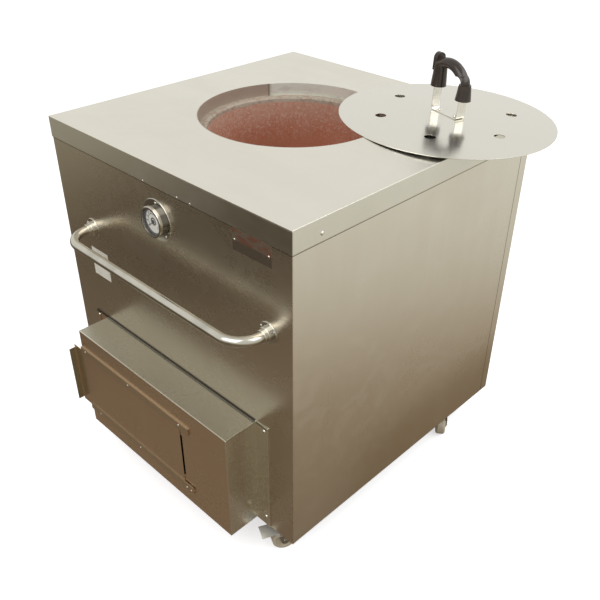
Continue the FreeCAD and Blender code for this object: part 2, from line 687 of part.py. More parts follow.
def wiring():
    """Terminal block on the floor pan and the plain cable gland in the rear panel."""
    back = "panel_back - block_width / 2"
    left = "-gland_left - block_length / 2"
    front = "(%s - block_width)" % back
    base = block("block_base", (left, front, "pan_top"), (left + " + block_length", back, "pan_top + block_height"))
    ways = []
    for way in range(3):
        start = "%s + block_length * %s" % (left, (way + 0.6) / 3.6)
        ways.append(block("way_%d" % way, (start, front, "pan_top + block_height / 2"),
                          (start + " + block_length * 0.2", back, "pan_top + 2 * block_height")))
    piece("terminal_block", cut("terminal_block", base, fuse("ways", ways)))
    turned("cable_gland", [("gland_bore", "-panel_sheet - 8"), ("gland_nut", "-panel_sheet - 8"),
                           ("gland_nut", "-panel_sheet"), ("gland_neck", "-panel_sheet"), ("gland_neck", "0"),
                           ("gland_nut", "0"), ("gland_nut", "gland_length / 2"),
                           ("gland_nut - 3", "gland_length"), ("gland_bore", "gland_length")],
           "-gland_left", "panel_face", "gland_height", REAR)


# ---------------------------------------------------------------- fire box and shutter


def air_duct():
    """Rectangular duct from the fire box through the casing into the pot's wall."""
    low, high = "-duct_width / 2", "duct_width / 2"
    top = "duct_floor + duct_height"
    outer = block("duct_outer", (low, "-panel_face", "duct_floor"), (high, "-duct_end", top))
    inner = block("duct_inner", (low + " + duct_sheet", "-cover_width", "duct_floor + duct_sheet"),
                  (high + " - duct_sheet", "0", top + " - duct_sheet"))
    piece("air_duct", cut("air_duct", outer, inner))


def fire_box():
    """Sheet-metal box before the panel, open behind, with a window in front and a hemmed flange."""
    body = new_body("fire_box")
    flange = sketch_on(body, "XZ_Plane", "panel_face")
    rectangle(flange, ("-flange_half", "casing_foot"), ("flange_half", "flange_top"))
    pad(body, flange, "box_sheet")
    for side in (-1, 1):
        edges = sorted(("%d * flange_half" % side, "%d * (flange_half - hem_width)" % side), key=number)
        hem = sketch_on(body, "XZ_Plane", "panel_face + box_sheet")
        rectangle(hem, (edges[0], "casing_foot"), (edges[1], "flange_top"))
        pad(body, hem, "seam_gap * 2")
    walls = sketch_on(body, "XZ_Plane", "panel_face")
    rectangle(walls, ("-box_left", "box_floor"), ("box_right", "box_floor + box_height"))
    pad(body, walls, "box_depth")
    hollow = sketch_on(body, "XZ_Plane", "panel_face")
    rectangle(hollow, ("box_sheet - box_left", "box_floor + box_sheet"),
              ("box_right - box_sheet", "box_floor + box_height - box_sheet"))
    pocket(body, hollow, "box_depth - box_sheet", along_normal=True)
    window = sketch_on(body, "XZ_Plane", "box_front")
    rectangle(window, ("-window_half", "window_floor"), ("window_half", "window_top"))
    pocket(body, window, "4 * box_sheet", symmetric=True)
    piece("fire_box", body)


def shutter():
    """Sliding plate with a folded handle, and the two joggled rails that hold it."""
    end = "rail_length - rail_left"
    front = "-box_front - rail_slot - rail_sheet"
    back = "-box_front"
    for node, foot, lip_foot in (("rail_top", "rail_top_foot", "rail_top_foot"),
                                 ("rail_bottom", "rail_bottom_foot", "rail_bottom_foot + rail_width - rail_lip")):
        bar = block(node + "_bar", ("-rail_left", front, foot), (end, back, foot + " + rail_width"))
        slot = block(node + "_slot", ("-rail_left - 1", "-box_front - rail_slot", lip_foot),
                     (end + " + 1", "-box_front + 1", lip_foot + " + rail_lip"))
        piece(node, cut(node, bar, slot))
    plate = block("shutter_sheet_metal", ("-shutter_left", "-shutter_face", "shutter_foot"),
                  ("shutter_length - shutter_left", "-shutter_back", "shutter_top"))
    fold_foot = "rail_bottom_foot + rail_width"
    fold = block("shutter_fold", ("-shutter_left", "-shutter_face - shutter_handle", fold_foot),
                 ("-shutter_left + shutter_sheet", "-shutter_back", "rail_top_foot"))
    piece("shutter_plate", fuse("shutter_plate", [plate, fold]))
    along = "rail_length * %s / 444 - rail_left"
    rivets = [rivet("rivet_top_%d" % index, along % share, front, "rail_top_foot + rail_width * 0.62")
              for index, share in enumerate((21, 210, 410))]
    rivets += [rivet("rivet_foot_%d" % index, along % share, front, "rail_bottom_foot + rail_width * 0.3")
               for index, share in enumerate((44, 227, 418.5, 435))]
    piece("rail_rivets", group("rail_rivets", rivets))


# ---------------------------------------------------------------- thermometer


def thermometer():
    """Dial thermometer: flange, case, dial, pointer, lens, bezel, stem and screws, all about one axis."""
    axis = ("-gauge_left", "-panel_face", "gauge_height", FRONT)
    inner = "gauge_case - gauge_case_wall"
    turned("thermometer_flange", [("gauge_case", "0"), ("gauge_flange", "0"),
                                  ("gauge_flange", "gauge_flange_sheet / 2"),
                                  ("gauge_flange - 1", "gauge_flange_sheet"), ("gauge_case", "gauge_flange_sheet")],
           *axis)
    turned("thermometer_case", [("gauge_stem", "0"), ("gauge_case", "0"), ("gauge_case", "gauge_case_depth"),
                                (inner, "gauge_case_depth"), (inner, "gauge_case_wall"),
                                ("gauge_stem", "gauge_case_wall")], *axis)
    lens_back = "gauge_case_depth"
    lens_front = "gauge_case_depth + gauge_lens"
    bezel_back = "gauge_front - gauge_bezel_depth"
    turned("thermometer_bezel", [("gauge_case", bezel_back), ("gauge_bezel", bezel_back),
                                 ("gauge_bezel", "gauge_front - 1.5"), ("gauge_bezel - 1.5", "gauge_front"),
                                 ("gauge_window", "gauge_front"), ("gauge_window", lens_front),
                                 ("gauge_case", lens_front)], *axis)
    turned("thermometer_lens", [("0", lens_back), ("gauge_case", lens_back), ("gauge_case", lens_front),
                                ("0", lens_front)], *axis)
    dial_front = "gauge_dial_back + gauge_dial"
    turned("thermometer_dial", ring("gauge_pin + gauge_pin_fit", inner, "gauge_dial_back", dial_front), *axis)
    turned("thermometer_stem", [("0", "-gauge_stem_length"), ("gauge_stem", "-gauge_stem_length"),
                                ("gauge_stem", "gauge_case_wall"), ("0", "gauge_case_wall")], *axis)
    pointer(dial_front)
    heads = [gauge_screw(turn) for turn in range(3)]
    piece("thermometer_screws", group("thermometer_screws", heads))


def gauge_screw(turn):
    """One of the three screws of the thermometer's flange."""
    across, height = on_circle("(gauge_flange + gauge_case) / 2", 87 - 132 * turn, ("-gauge_left", "gauge_height"))
    head = cone("gauge_screw_%d" % turn, "3.4", "2.2", "1.6", across, "-panel_face - gauge_flange_sheet", height, FRONT)
    return head


def pointer(dial_front):
    """Pointer on its spindle, which runs in the dial's hole; it points to the lower left at rest."""
    body = new_body("thermometer_pointer")
    foot = "gauge_dial_back - 3"
    top = dial_front + " + 0.6"
    pin = circle(sketch_on(body, "XY_Plane", foot), "0", "0", "gauge_pin")
    pad(body, pin, "%s - (%s)" % (top, foot))
    hub = circle(sketch_on(body, "XY_Plane", top), "0", "0", "gauge_hub")
    pad(body, hub, "2")
    half = "gauge_needle_width / 2"
    needle = sketch_on(body, "XY_Plane", top)
    outline(needle, [("0", "-(%s)" % half), ("gauge_needle", "-0.3"), ("gauge_needle", "0.3"), ("0", half)])
    pad(body, needle, "0.8")
    rest = FreeCAD.Rotation(FreeCAD.Vector(0, 0, 1), 222)
    piece("thermometer_pointer", place(body, "-gauge_left", "-panel_face", "gauge_height", FRONT * rest))


# ---------------------------------------------------------------- push bar and plate


def push_bar():
    """Bent tube across the front, seated in two stepped mounts."""
    body = new_body("push_bar")
    start = "panel_face + mount_disc_sheet"
    diagonal = "bar_bend * " + HALF_ROOT
    path = outline(sketch_on(body, "XY_Plane", "bar_height"), [
        ("-bar_left", "-(%s)" % start), ("-bar_left", "-bend_line"),
        ("arc", "-bar_left + bar_bend - " + diagonal, "-bend_line - " + diagonal),
        ("-bar_left + bar_bend", "-bar_axis"), ("bar_right - bar_bend", "-bar_axis"),
        ("arc", "bar_right - bar_bend + " + diagonal, "-bend_line - " + diagonal),
        ("bar_right", "-bend_line"), ("bar_right", "-(%s)" % start)], closed=False)
    section = sketch_on(body, "XZ_Plane", start)
    circle(section, "-bar_left", "bar_height", "bar_radius")
    circle(section, "-bar_left", "bar_height", "bar_radius - bar_wall")
    sweep(body, section, path)
    piece("push_bar", body)
    step = "mount_disc_sheet + mount_collar_depth"
    profile = [("0", "0"), ("mount_disc", "0"), ("mount_disc", "mount_disc_sheet - 1"),
               ("mount_disc - 1", "mount_disc_sheet"), ("mount_collar", "mount_disc_sheet"),
               ("mount_collar", step + " - 1"), ("mount_collar - 1", step), ("mount_ring", step),
               ("mount_ring", step + " + mount_ring_depth - 1"), ("mount_ring - 1", step + " + mount_ring_depth"),
               ("mount_bore", step + " + mount_ring_depth"), ("mount_bore", "mount_disc_sheet"),
               ("0", "mount_disc_sheet")]
    heads = []
    for node, across in (("bar_mount_left", "-bar_left"), ("bar_mount_right", "bar_right")):
        turned(node, profile, across, "-panel_face", "bar_height", FRONT)
        for turn in range(3):
            x, z = on_circle("(mount_disc + mount_collar) / 2", 30 + 120 * turn, (across, "bar_height"))
            heads.append(cone("%s_screw_%d" % (node, turn), "2.6", "1.6", "1.2", x,
                              "-panel_face - mount_disc_sheet", z, FRONT))
    piece("bar_screws", group("bar_screws", heads))


def nameplate():
    """Bare plate at the upper right of the front, with a rivet at each end."""
    right = "plate_left + plate_length"
    piece("nameplate", block("nameplate", ("plate_left", "-panel_face - plate_sheet", "plate_foot"),
                             (right, "-panel_face", "plate_foot + plate_height")))
    middle = "plate_foot + plate_height / 2"
    front = "-panel_face - plate_sheet"
    rivets = [rivet("plate_rivet_%d" % index, across, front, middle)
              for index, across in enumerate(("plate_left + 6", right + " - 6"))]
    piece("nameplate_rivets", group("nameplate_rivets", rivets))


# ---------------------------------------------------------------- lid


def lay_aside(item, spin="0"):
    """Lay a piece of the lid down where the lid rests: on the mouth's rim and on the cover's rear right corner."""
    across = "lid_offset * cos(lid_bearing * 1deg)"
    along = "lid_offset * sin(lid_bearing * 1deg)"
    lean = "rotation(vector(-sin(lid_bearing * 1deg); cos(lid_bearing * 1deg); 0); atan(lid_slope))"
    turn = "rotation(vector(0; 0; 1); (%s) * 1deg)" % spin
    item.setExpression("Placement", link(
        "placement(vector(%s; %s; lid_height); %s) * placement(vector(0; 0; 0); %s)" % (across, along, lean, turn)))
    return item


def lid_disc():
    """Shallow dished disc with six vent holes and the strap's two screw holes."""
    body = new_body("lid_disc")
    # the dish is an arc; its points halfway out lie on the circle of radius lid_curve
    half_rise = "lid_rise - lid_curve + sqrt(lid_curve ^ 2 - lid_radius ^ 2 / 4)"
    section = [("0", "lid_rise"), ("arc", "lid_radius / 2", half_rise), ("lid_radius", "0"),
               ("lid_radius", "lid_sheet"), ("arc", "lid_radius / 2", half_rise + " + lid_sheet"),
               ("0", "lid_crown")]
    revolve(body, outline(sketch_on(body, "XZ_Plane"), section))
    hole = circle(sketch_on(body, "XY_Plane"), *on_circle("vent_circle", "vent_bearing"), "vent_radius")
    vent = pocket(body, hole, "4 * lid_crown", symmetric=True)
    pattern = body.newObject("PartDesign::PolarPattern", "vents")
    pattern.Originals = [vent]
    axis = [feature for feature in body.Origin.OriginFeatures if feature.Role == "Z_Axis"][0]
    pattern.Axis = (axis, [""])
    pattern.Angle = 360
    pattern.Occurrences = 6
    body.Tip = pattern
    piece("lid_disc", lay_aside(body))


def lid_handle():
    """Bent strap on the lid and the moulded grip whose two sockets hold its uprights."""
    floor = "(lid_crown)"
    body = new_body("lid_strap")
    edge, bend, inner = "strap_half", "(strap_half - strap_bend)", "(strap_half - strap_sheet)"
    outer_dip = "strap_bend * (1 - %s)" % HALF_ROOT
    inner_dip = "(strap_sheet + (strap_bend - strap_sheet) * (1 - %s))" % HALF_ROOT
    up = [("-" + edge, floor + " + strap_left_rise"), ("-" + edge, floor + " + strap_bend"),
          ("arc", "-%s + %s" % (edge, outer_dip), floor + " + " + outer_dip),
          ("-" + bend, floor), (bend, floor),
          ("arc", "%s - %s" % (edge, outer_dip), floor + " + " + outer_dip),
          (edge, floor + " + strap_bend"), (edge, floor + " + strap_right_rise"),
          (inner, floor + " + strap_right_rise"), (inner, floor + " + strap_bend"),
          ("arc", "%s - %s" % (edge, inner_dip), floor + " + " + inner_dip),
          (bend, floor + " + strap_sheet"), ("-" + bend, floor + " + strap_sheet"),
          ("arc", "-%s + %s" % (edge, inner_dip), floor + " + " + inner_dip),
          ("-" + inner, floor + " + strap_bend"), ("-" + inner, floor + " + strap_left_rise")]
    pad(body, outline(sketch_on(body, "XZ_Plane"), up), "strap_width", symmetric=True)
    piece("lid_strap", lay_aside(body, "handle_bearing"))
    piece("lid_grip", lay_aside(grip(floor), "handle_bearing"))
    heads = []
    for side in (-1, 1):
        heads.append(cone("strap_screw_%d" % (side + 1), "5", "3.2", "3", "%d * strap_hole" % side, "0",
                          floor + " + strap_sheet"))
    piece("lid_screws", lay_aside(group("lid_screws", heads), "handle_bearing"))


def grip(floor):
    """Moulded grip: two flared sockets, a bowed bar with a round right shoulder, and a lug on the left."""
    middle = "(strap_half - strap_sheet / 2)"
    body = new_body("grip_bar")
    turn = "(%s - grip_shoulder)" % middle
    shoulder_low = floor + " + grip_right_height - grip_shoulder"
    path = outline(sketch_on(body, "XZ_Plane"), [
        ("-" + middle, floor + " + grip_left_height"), ("arc", "-4", floor + " + grip_crest_height"),
        (turn, floor + " + grip_right_height"),
        ("arc", "%s + grip_shoulder * %s" % (turn, HALF_ROOT),
         floor + " + grip_right_height - grip_shoulder * (1 - %s)" % HALF_ROOT),
        (middle, shoulder_low)], closed=False)
    section = circle(sketch_on(body, "YZ_Plane", "-" + middle), "0", floor + " + grip_left_height", "grip_radius")
    sweep(body, section, path)
    left = cone("socket_left", "grip_socket", "grip_radius + 1", "grip_left_height - grip_left_foot",
                "-" + middle, "0", floor + " + grip_left_foot")
    right = cone("socket_right", "grip_socket", "grip_radius", "grip_right_height - grip_shoulder - grip_right_foot",
                 middle, "0", floor + " + grip_right_foot")
    knee = DOC.addObject("Part::Sphere", "left_knee")
    knee.setExpression("Radius", link("grip_radius + 1"))
    place(knee, "-" + middle, "0", floor + " + grip_left_height")
    lug_axis = floor + " + lug_height - lug_radius"
    lug_start = "-%s - grip_radius" % middle
    lug_round = rod("lug_round", "lug_radius", "lug_thickness", lug_start, "0", lug_axis, RIGHT)
    lug_web = block("lug_web", (lug_start, "-lug_radius", floor + " + grip_left_height - grip_radius"),
                    (lug_start + " + lug_thickness", "lug_radius", lug_axis))
    whole = fuse("grip_whole", [body, left, right, knee, lug_round, lug_web])
    slots = []
    play = "socket_play"
    for name, low, high, rise, foot in (("left", "-strap_half", "-strap_half + strap_sheet", "strap_left_rise",
                                         "grip_left_foot"),
                                        ("right", "strap_half - strap_sheet", "strap_half", "strap_right_rise",
                                         "grip_right_foot")):
        slots.append(block("slot_" + name, (low + " - " + play, "-strap_width / 2 - " + play,
                                            "%s + %s - 1" % (floor, foot)),
                           (high + " + " + play, "strap_width / 2 + " + play,
                            "%s + %s + %s" % (floor, rise, play))))
    return cut("lid_grip", whole, fuse("grip_slots", slots))


# ---------------------------------------------------------------- casters


def set_caster(item, across, along, heading):
    """Place a piece drawn about its swivel axis, with the wheel's trail along +X, on one caster."""
    item.setExpression("Placement", link(
        "placement(vector(%s; %s; 0); rotation(vector(0; 0; 1); (%s) * 1deg))" % (across, along, heading)))
    return item


def caster_plate(name, across, along):
    """Fixed top plate with the outer ring of the swivel race."""
    half_length, half_width = "caster_plate_length / 2", "caster_plate_width / 2"
    foot = "casing_foot - caster_plate_sheet"
    plate = block(name + "_sheet", ("%s - %s" % (across, half_length), "%s - %s" % (along, half_width), foot),
                  ("%s + %s" % (across, half_length), "%s + %s" % (along, half_width), "casing_foot"))
    race = rod(name + "_race", "race_radius", "race_height", across, along, "race_foot")
    bore = rod(name + "_bore", "kingpin_radius + axle_fit", "2 * race_height + casing_foot", across, along)
    return cut(name, fuse(name + "_blank", [plate, race]), bore)


def fork(node):
    """Pressed fork: crown with a boss and kingpin, and two cheeks that carry the axle."""
    body = new_body(node)
    crown_disc = circle(sketch_on(body, "XY_Plane", "fork_crown"), "0", "0", "crown_radius")
    pad(body, crown_disc, "fork_sheet")
    boss = circle(sketch_on(body, "XY_Plane", "fork_crown + fork_sheet"), "0", "0", "fork_boss")
    pad(body, boss, "race_foot - swivel_gap - fork_crown - fork_sheet")
    kingpin = circle(sketch_on(body, "XY_Plane", "fork_crown"), "0", "0", "kingpin_radius")
    pad(body, kingpin, "casing_foot - 0.5 - fork_crown")
    top = "fork_crown + fork_sheet / 2"
    eye = "axle_radius + 6"
    for side in (-1, 1):
        start = "wheel_inner" if side < 0 else "-fork_outer"
        cheek = sketch_on(body, "XZ_Plane", start)
        outline(cheek, [("-14", top), ("-14", "fork_crown - 6"), ("caster_trail - (%s)" % eye, "wheel_radius"),
                        ("arc", "caster_trail", "wheel_radius - (%s)" % eye),
                        ("caster_trail + (%s)" % eye, "wheel_radius"),
                        ("pedal_pivot_along + 4", "pedal_pivot_height - 4"),
                        ("pedal_pivot_along + 4", "pedal_pivot_height + 3"),
                        ("pedal_pivot_along - 7", "pedal_pivot_height + 3"), ("18", top)])
        circle(cheek, "caster_trail", "wheel_radius", "axle_radius")
        pad(body, cheek, "fork_sheet")
    return body


def pedal_pins(node):
    """Two stub pins on the fork's cheeks, on which the brake pedal turns."""
    stubs = []
    for side, turn, name in ((1, REAR, "a"), (-1, FRONT, "b")):
        stubs.append(rod("%s_pin_%s" % (node, name), "pedal_pin", "pedal_outer - wheel_inner",
                         "pedal_pivot_along", "%d * wheel_inner" % side, "pedal_pivot_height", turn))
    return stubs


def brake_pedal(node):
    """Stamped pedal: two ears on the pivot and a tread plate beyond the wheel."""
    top = "pedal_top"
    under = "pedal_top - pedal_sheet"
    tread = block(node + "_tread", ("pedal_pivot_along - 6", "-pedal_outer", under),
                  ("pedal_reach", "pedal_outer", top))
    ears = []
    for side in (-1, 1):
        low, high = sorted(("%d * pedal_inner" % side, "%d * pedal_outer" % side), key=number)
        ears.append(block("%s_ear_%d" % (node, side + 1),
                          ("pedal_pivot_along - 6", low, "pedal_pivot_height - 5"), ("pedal_pivot_along + 10", high, top)))
    hole = rod(node + "_hole", "pedal_pin + axle_fit", "4 * pedal_outer", "pedal_pivot_along", "2 * pedal_outer",
               "pedal_pivot_height", FRONT)
    return cut(node, fuse(node + "_blank", [tread] + ears), hole)


def wheel(node):
    """Wheel with a crowned tread, recessed faces and a bored hub."""
    body = new_body(node)
    half = "wheel_width / 2"
    bore = "axle_radius + axle_fit"
    recess = "(%s - 3)" % half
    section = [(bore, "-(%s)" % half), ("axle_radius + 5", "-(%s)" % half), ("axle_radius + 6", "-" + recess),
               ("wheel_radius - 8", "-" + recess), ("wheel_radius - 7", "-(%s)" % half),
               ("wheel_radius - 3", "-(%s)" % half), ("wheel_radius", "-(%s - 4)" % half),
               ("wheel_radius", "%s - 4" % half), ("wheel_radius - 3", half), ("wheel_radius - 7", half),
               ("wheel_radius - 8", recess), ("axle_radius + 6", recess), ("axle_radius + 5", half), (bore, half)]
    revolve(body, outline(sketch_on(body, "XZ_Plane"), section))
    return body


def axle(node):
    """Axle with a round head outside each cheek."""
    shank = rod(node + "_shank", "axle_radius", "2 * fork_outer", "caster_trail", "fork_outer", "wheel_radius", FRONT)
    heads = [rod(node + "_head_near", "axle_radius + 2", "pedal_sheet", "caster_trail", "-fork_outer", "wheel_radius",
                 FRONT),
             rod(node + "_head_far", "axle_radius + 2", "pedal_sheet", "caster_trail", "fork_outer", "wheel_radius",
                 REAR)]
    return fuse(node, [shank] + heads)


def casters():
    """Four swivel casters; the front pair has brake pedals."""
    plates = []
    for end, along, across, heading in (("front", "-front_axis_forward", "front_axis_across", "front_heading"),
                                        ("rear", "rear_axis_back", "rear_axis_across", "rear_heading")):
        for side, sign in (("left", "-"), ("right", "")):
            corner = "%s_%s" % (end, side)
            where = (sign + across, along)
            plates.append(caster_plate("caster_plate_" + corner, *where))
            frame = fork("caster_fork_" + corner if end == "rear" else "fork_blank_" + corner)
            if end == "front":
                frame = fuse("caster_fork_" + corner, [frame] + pedal_pins("fork_" + corner))
                piece("brake_pedal_" + side, set_caster(brake_pedal("brake_pedal_" + side), *where, heading))
            piece("caster_fork_" + corner, set_caster(frame, *where, heading))
            rolling = wheel("caster_wheel_" + corner)
            rolling.setExpression("Placement", link(
                "placement(vector(%s; %s; 0); rotation(vector(0; 0; 1); (%s) * 1deg))"
                " * placement(vector(caster_trail; 0; wheel_radius); rotation(vector(1; 0; 0); 90deg))"
                % (where + (heading,))))
            piece("caster_wheel_" + corner, rolling)
            piece("caster_axle_" + corner, set_caster(axle("caster_axle_" + corner), *where, heading))
    piece("caster_plates", group("caster_plates", plates))


# ---------------------------------------------------------------- assembly


def build():
    """Build every sub-part."""
    write_dimensions()
    top_cover()
    front_panel()
    side_panel("left_side_panel", -1)
    side_panel("right_side_panel", 1)
    rear_panel()
    base_frame()
    for node, across, along in (("post_front_left", -1, -1), ("post_front_right", 1, -1),
                                ("post_rear_left", -1, 1), ("post_rear_right", 1, 1)):
        corner_post(node, across, along)
    mouth_and_pot()
    insulation()
    hearth()
    wiring()
    air_duct()
    fire_box()
    shutter()
    casing_screws()
    thermometer()
    push_bar()
    nameplate()
    lid_disc()
    lid_handle()
    casters()
    DOC.recompute()


def check():
    """Stop if an object has failed or a sub-part has no valid solid."""
    for item in DOC.Objects:
        for state in ("Invalid", "Error"):
            if state in item.State:
                raise RuntimeError("%s (%s) is %s" % (item.Name, item.Label, item.State))
    for node, item in PIECES.items():
        if item.Shape.isNull() or not item.Shape.isValid() or not item.Shape.Solids:
            raise RuntimeError("%s has no valid solid" % node)


def export():
    """Write one STEP file for each sub-part."""
    os.makedirs("parts", exist_ok=True)
    for node, item in PIECES.items():
        item.Shape.exportStep(os.path.join("parts", node + ".step"))


build()
check()
export()
print("%d sub-parts, %d solids" % (len(PIECES), sum(len(item.Shape.Solids) for item in PIECES.values())))
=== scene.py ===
"""Looks of a square stainless steel tandoor on casters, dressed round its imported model. Metres throughout.

The frame's origin lies on the floor under the middle of the casing, +Z is up and -Y is the front.
"""

import logging
import math
from dataclasses import dataclass
from enum import Enum

import bmesh
import bpy
from mathutils import Matrix, Vector

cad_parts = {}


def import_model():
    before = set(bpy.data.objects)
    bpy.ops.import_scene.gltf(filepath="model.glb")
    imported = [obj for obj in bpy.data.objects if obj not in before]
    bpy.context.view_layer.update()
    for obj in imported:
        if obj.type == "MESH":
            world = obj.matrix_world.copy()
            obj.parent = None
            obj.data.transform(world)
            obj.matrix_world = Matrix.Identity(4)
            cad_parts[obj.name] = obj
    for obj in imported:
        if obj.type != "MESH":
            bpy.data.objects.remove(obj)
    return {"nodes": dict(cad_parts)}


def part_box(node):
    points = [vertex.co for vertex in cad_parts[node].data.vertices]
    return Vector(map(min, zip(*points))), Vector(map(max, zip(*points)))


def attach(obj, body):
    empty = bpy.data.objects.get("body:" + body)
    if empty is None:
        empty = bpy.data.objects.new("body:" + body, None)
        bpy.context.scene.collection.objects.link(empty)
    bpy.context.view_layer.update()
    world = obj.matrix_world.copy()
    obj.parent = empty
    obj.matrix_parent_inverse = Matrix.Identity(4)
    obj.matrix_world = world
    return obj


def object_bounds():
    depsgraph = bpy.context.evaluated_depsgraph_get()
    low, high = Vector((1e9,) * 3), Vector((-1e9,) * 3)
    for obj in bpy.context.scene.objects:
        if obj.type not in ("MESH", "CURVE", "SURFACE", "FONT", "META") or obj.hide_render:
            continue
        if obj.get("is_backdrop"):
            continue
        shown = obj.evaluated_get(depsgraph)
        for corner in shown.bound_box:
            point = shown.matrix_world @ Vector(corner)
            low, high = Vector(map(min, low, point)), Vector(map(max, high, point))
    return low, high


logging.basicConfig(level=logging.INFO, format="%(message)s")
LOG = logging.getLogger("tandoor")
Triple = tuple[float, float, float]
Colour = Triple
Nodes = dict[str, bpy.types.Object]
MM = 0.001


class Grain(Enum):
    """Direction in which a steel sheet was brushed, by the number of its axis."""

    ACROSS = 0
    UPRIGHT = 2
    ROUND = 3

    def cells(self, fine: float, long: float, even: float) -> Triple:
        """Cells per metre of a noise that follows the grain.

        Args:
            fine: cells across the grain.
            long: cells along the grain.
            even: cells on every axis of a sheet that was brushed all round.

        Returns:
            The cells on each axis.
        """
        if self is Grain.ROUND:
            return (even, even, even)
        return tuple(long if axis == self.value else fine for axis in range(3))


# ------------------------------------------------------------------ shader expressions


class Signal:
    """One output socket of a shader node, with arithmetic that adds Math nodes."""

    def __init__(self, graph: "Graph", socket: bpy.types.NodeSocket) -> None:
        """Keep the socket and the graph that it belongs to."""
        self.graph = graph
        self.socket = socket

    def _with(self, operation: str, *others: "Signal | float", clamp: bool = False) -> "Signal":
        """Add one Math node.

        Args:
            operation: the Math node's operation.
            others: the other operands, in order after this one.
            clamp: whether the result is held between 0 and 1.

        Returns:
            The node's output.
        """
        settings = {"operation": operation, "use_clamp": clamp}
        return self.graph.node("ShaderNodeMath", settings, dict(enumerate((self,) + others)))

    def __add__(self, other: "Signal | float") -> "Signal":
        """Sum."""
        return self._with("ADD", other)

    def __radd__(self, other: float) -> "Signal":
        """Sum with the number first."""
        return self._with("ADD", other)

    def __sub__(self, other: "Signal | float") -> "Signal":
        """Difference."""
        return self._with("SUBTRACT", other)

    def __rsub__(self, other: float) -> "Signal":
        """Number less this."""
        return -self + other

    def __mul__(self, other: "Signal | float") -> "Signal":
        """Product."""
        return self._with("MULTIPLY", other)

    def __rmul__(self, other: float) -> "Signal":
        """Product with the number first."""
        return self._with("MULTIPLY", other)

    def __neg__(self) -> "Signal":
        """This with its sign turned."""
        return self * -1.0

    def __abs__(self) -> "Signal":
        """This without its sign."""
        return self._with("ABSOLUTE")

    def __round__(self) -> "Signal":
        """Nearest whole number."""
        return self._with("ROUND")

    def clamped(self) -> "Signal":
        """This held between 0 and 1."""
        return self._with("ADD", 0.0, clamp=True)

    def hypot(self, other: "Signal") -> "Signal":
        """Length of a flat vector with this and another as its parts."""
        return (self * self + other * other)._with("POWER", 0.5)

    def angle(self, other: "Signal") -> "Signal":
        """Angle in radians whose tangent is this over another."""
        return self._with("ARCTAN2", other)

    def ramp(self, low: float, high: float) -> "Signal":
        """Smooth step.

        Args:
            low: value that gives 0.
            high: value that gives 1; it may lie below low.

        Returns:
            The smooth step between the two.
        """
        settings = {"interpolation_type": "SMOOTHSTEP"}
        return self.graph.node("ShaderNodeMapRange", settings,
                               {"Value": self, "From Min": low, "From Max": high})

    def within(self, low: float, high: float, soft: float = 0.4 * MM) -> "Signal":
        """One between two values.

        Args:
            low: lower end.
            high: upper end.
            soft: width of each edge.

        Returns:
            The window, with soft edges inside it.
        """
        return self.ramp(low, low + soft) * self.ramp(high, high - soft)


class Graph:
    """A node tree to which expressions add their nodes."""

    def __init__(self, tree: bpy.types.NodeTree) -> None:
        """Keep the tree."""
        self.tree = tree

    def node(self, kind: str, settings: dict | None = None, inputs: dict | None = None,
             output: int | str = 0) -> Signal:
        """Add any node.

        Args:
            kind: the node's type.
            settings: attributes to set first; "stops" holds a colour ramp's positions and colours.
            inputs: values or signals by socket name or number.
            output: the output wanted.

        Returns:
            That output.
        """
        made = self.tree.nodes.new(kind)
        for key, value in (settings or {}).items():
            if key == "stops":
                self._stops(made.color_ramp, value)
            else:
                setattr(made, key, value)
        for key, value in (inputs or {}).items():
            self.feed(made.inputs[key], value)
        return Signal(self, made.outputs[output])

    @staticmethod
    def _stops(ramp: bpy.types.ColorRamp, stops: tuple[tuple[float, Colour], ...]) -> None:
        """Write a colour ramp's stops.

        Args:
            ramp: the ramp, which has two stops at first.
            stops: position and colour of each stop.
        """
        while len(ramp.elements) < len(stops):
            ramp.elements.new(0.5)
        for element, (position, colour) in zip(ramp.elements, stops):
            element.position = position
            element.color = (*colour, 1.0)

    def feed(self, socket: bpy.types.NodeSocket, value: "Signal | float | tuple") -> None:
        """Link a signal to a socket or set its value.

        Args:
            socket: the input socket.
            value: a signal, a number, or a tuple; a colour of three parts gets its alpha here.
        """
        if isinstance(value, Signal):
            self.tree.links.new(value.socket, socket)
        elif isinstance(value, tuple) and len(value) == 3 and len(socket.default_value) == 4:
            socket.default_value = (*value, 1.0)
        else:
            socket.default_value = value

    def mix(self, amount: Signal, first: "Signal | Colour", second: "Signal | Colour") -> Signal:
        """Blend two colours.

        Args:
            amount: share of the second colour.
            first: the colour at 0.
            second: the colour at 1.

        Returns:
            The blend.
        """
        settings = {"data_type": "RGBA", "clamp_factor": True}
        return self.node("ShaderNodeMix", settings, {0: amount, 6: first, 7: second}, output=2)

    def ray(self, kind: str) -> Signal:
        """One for rays of a kind, such as "Is Camera Ray"."""
        return self.node("ShaderNodeLightPath", output=kind)


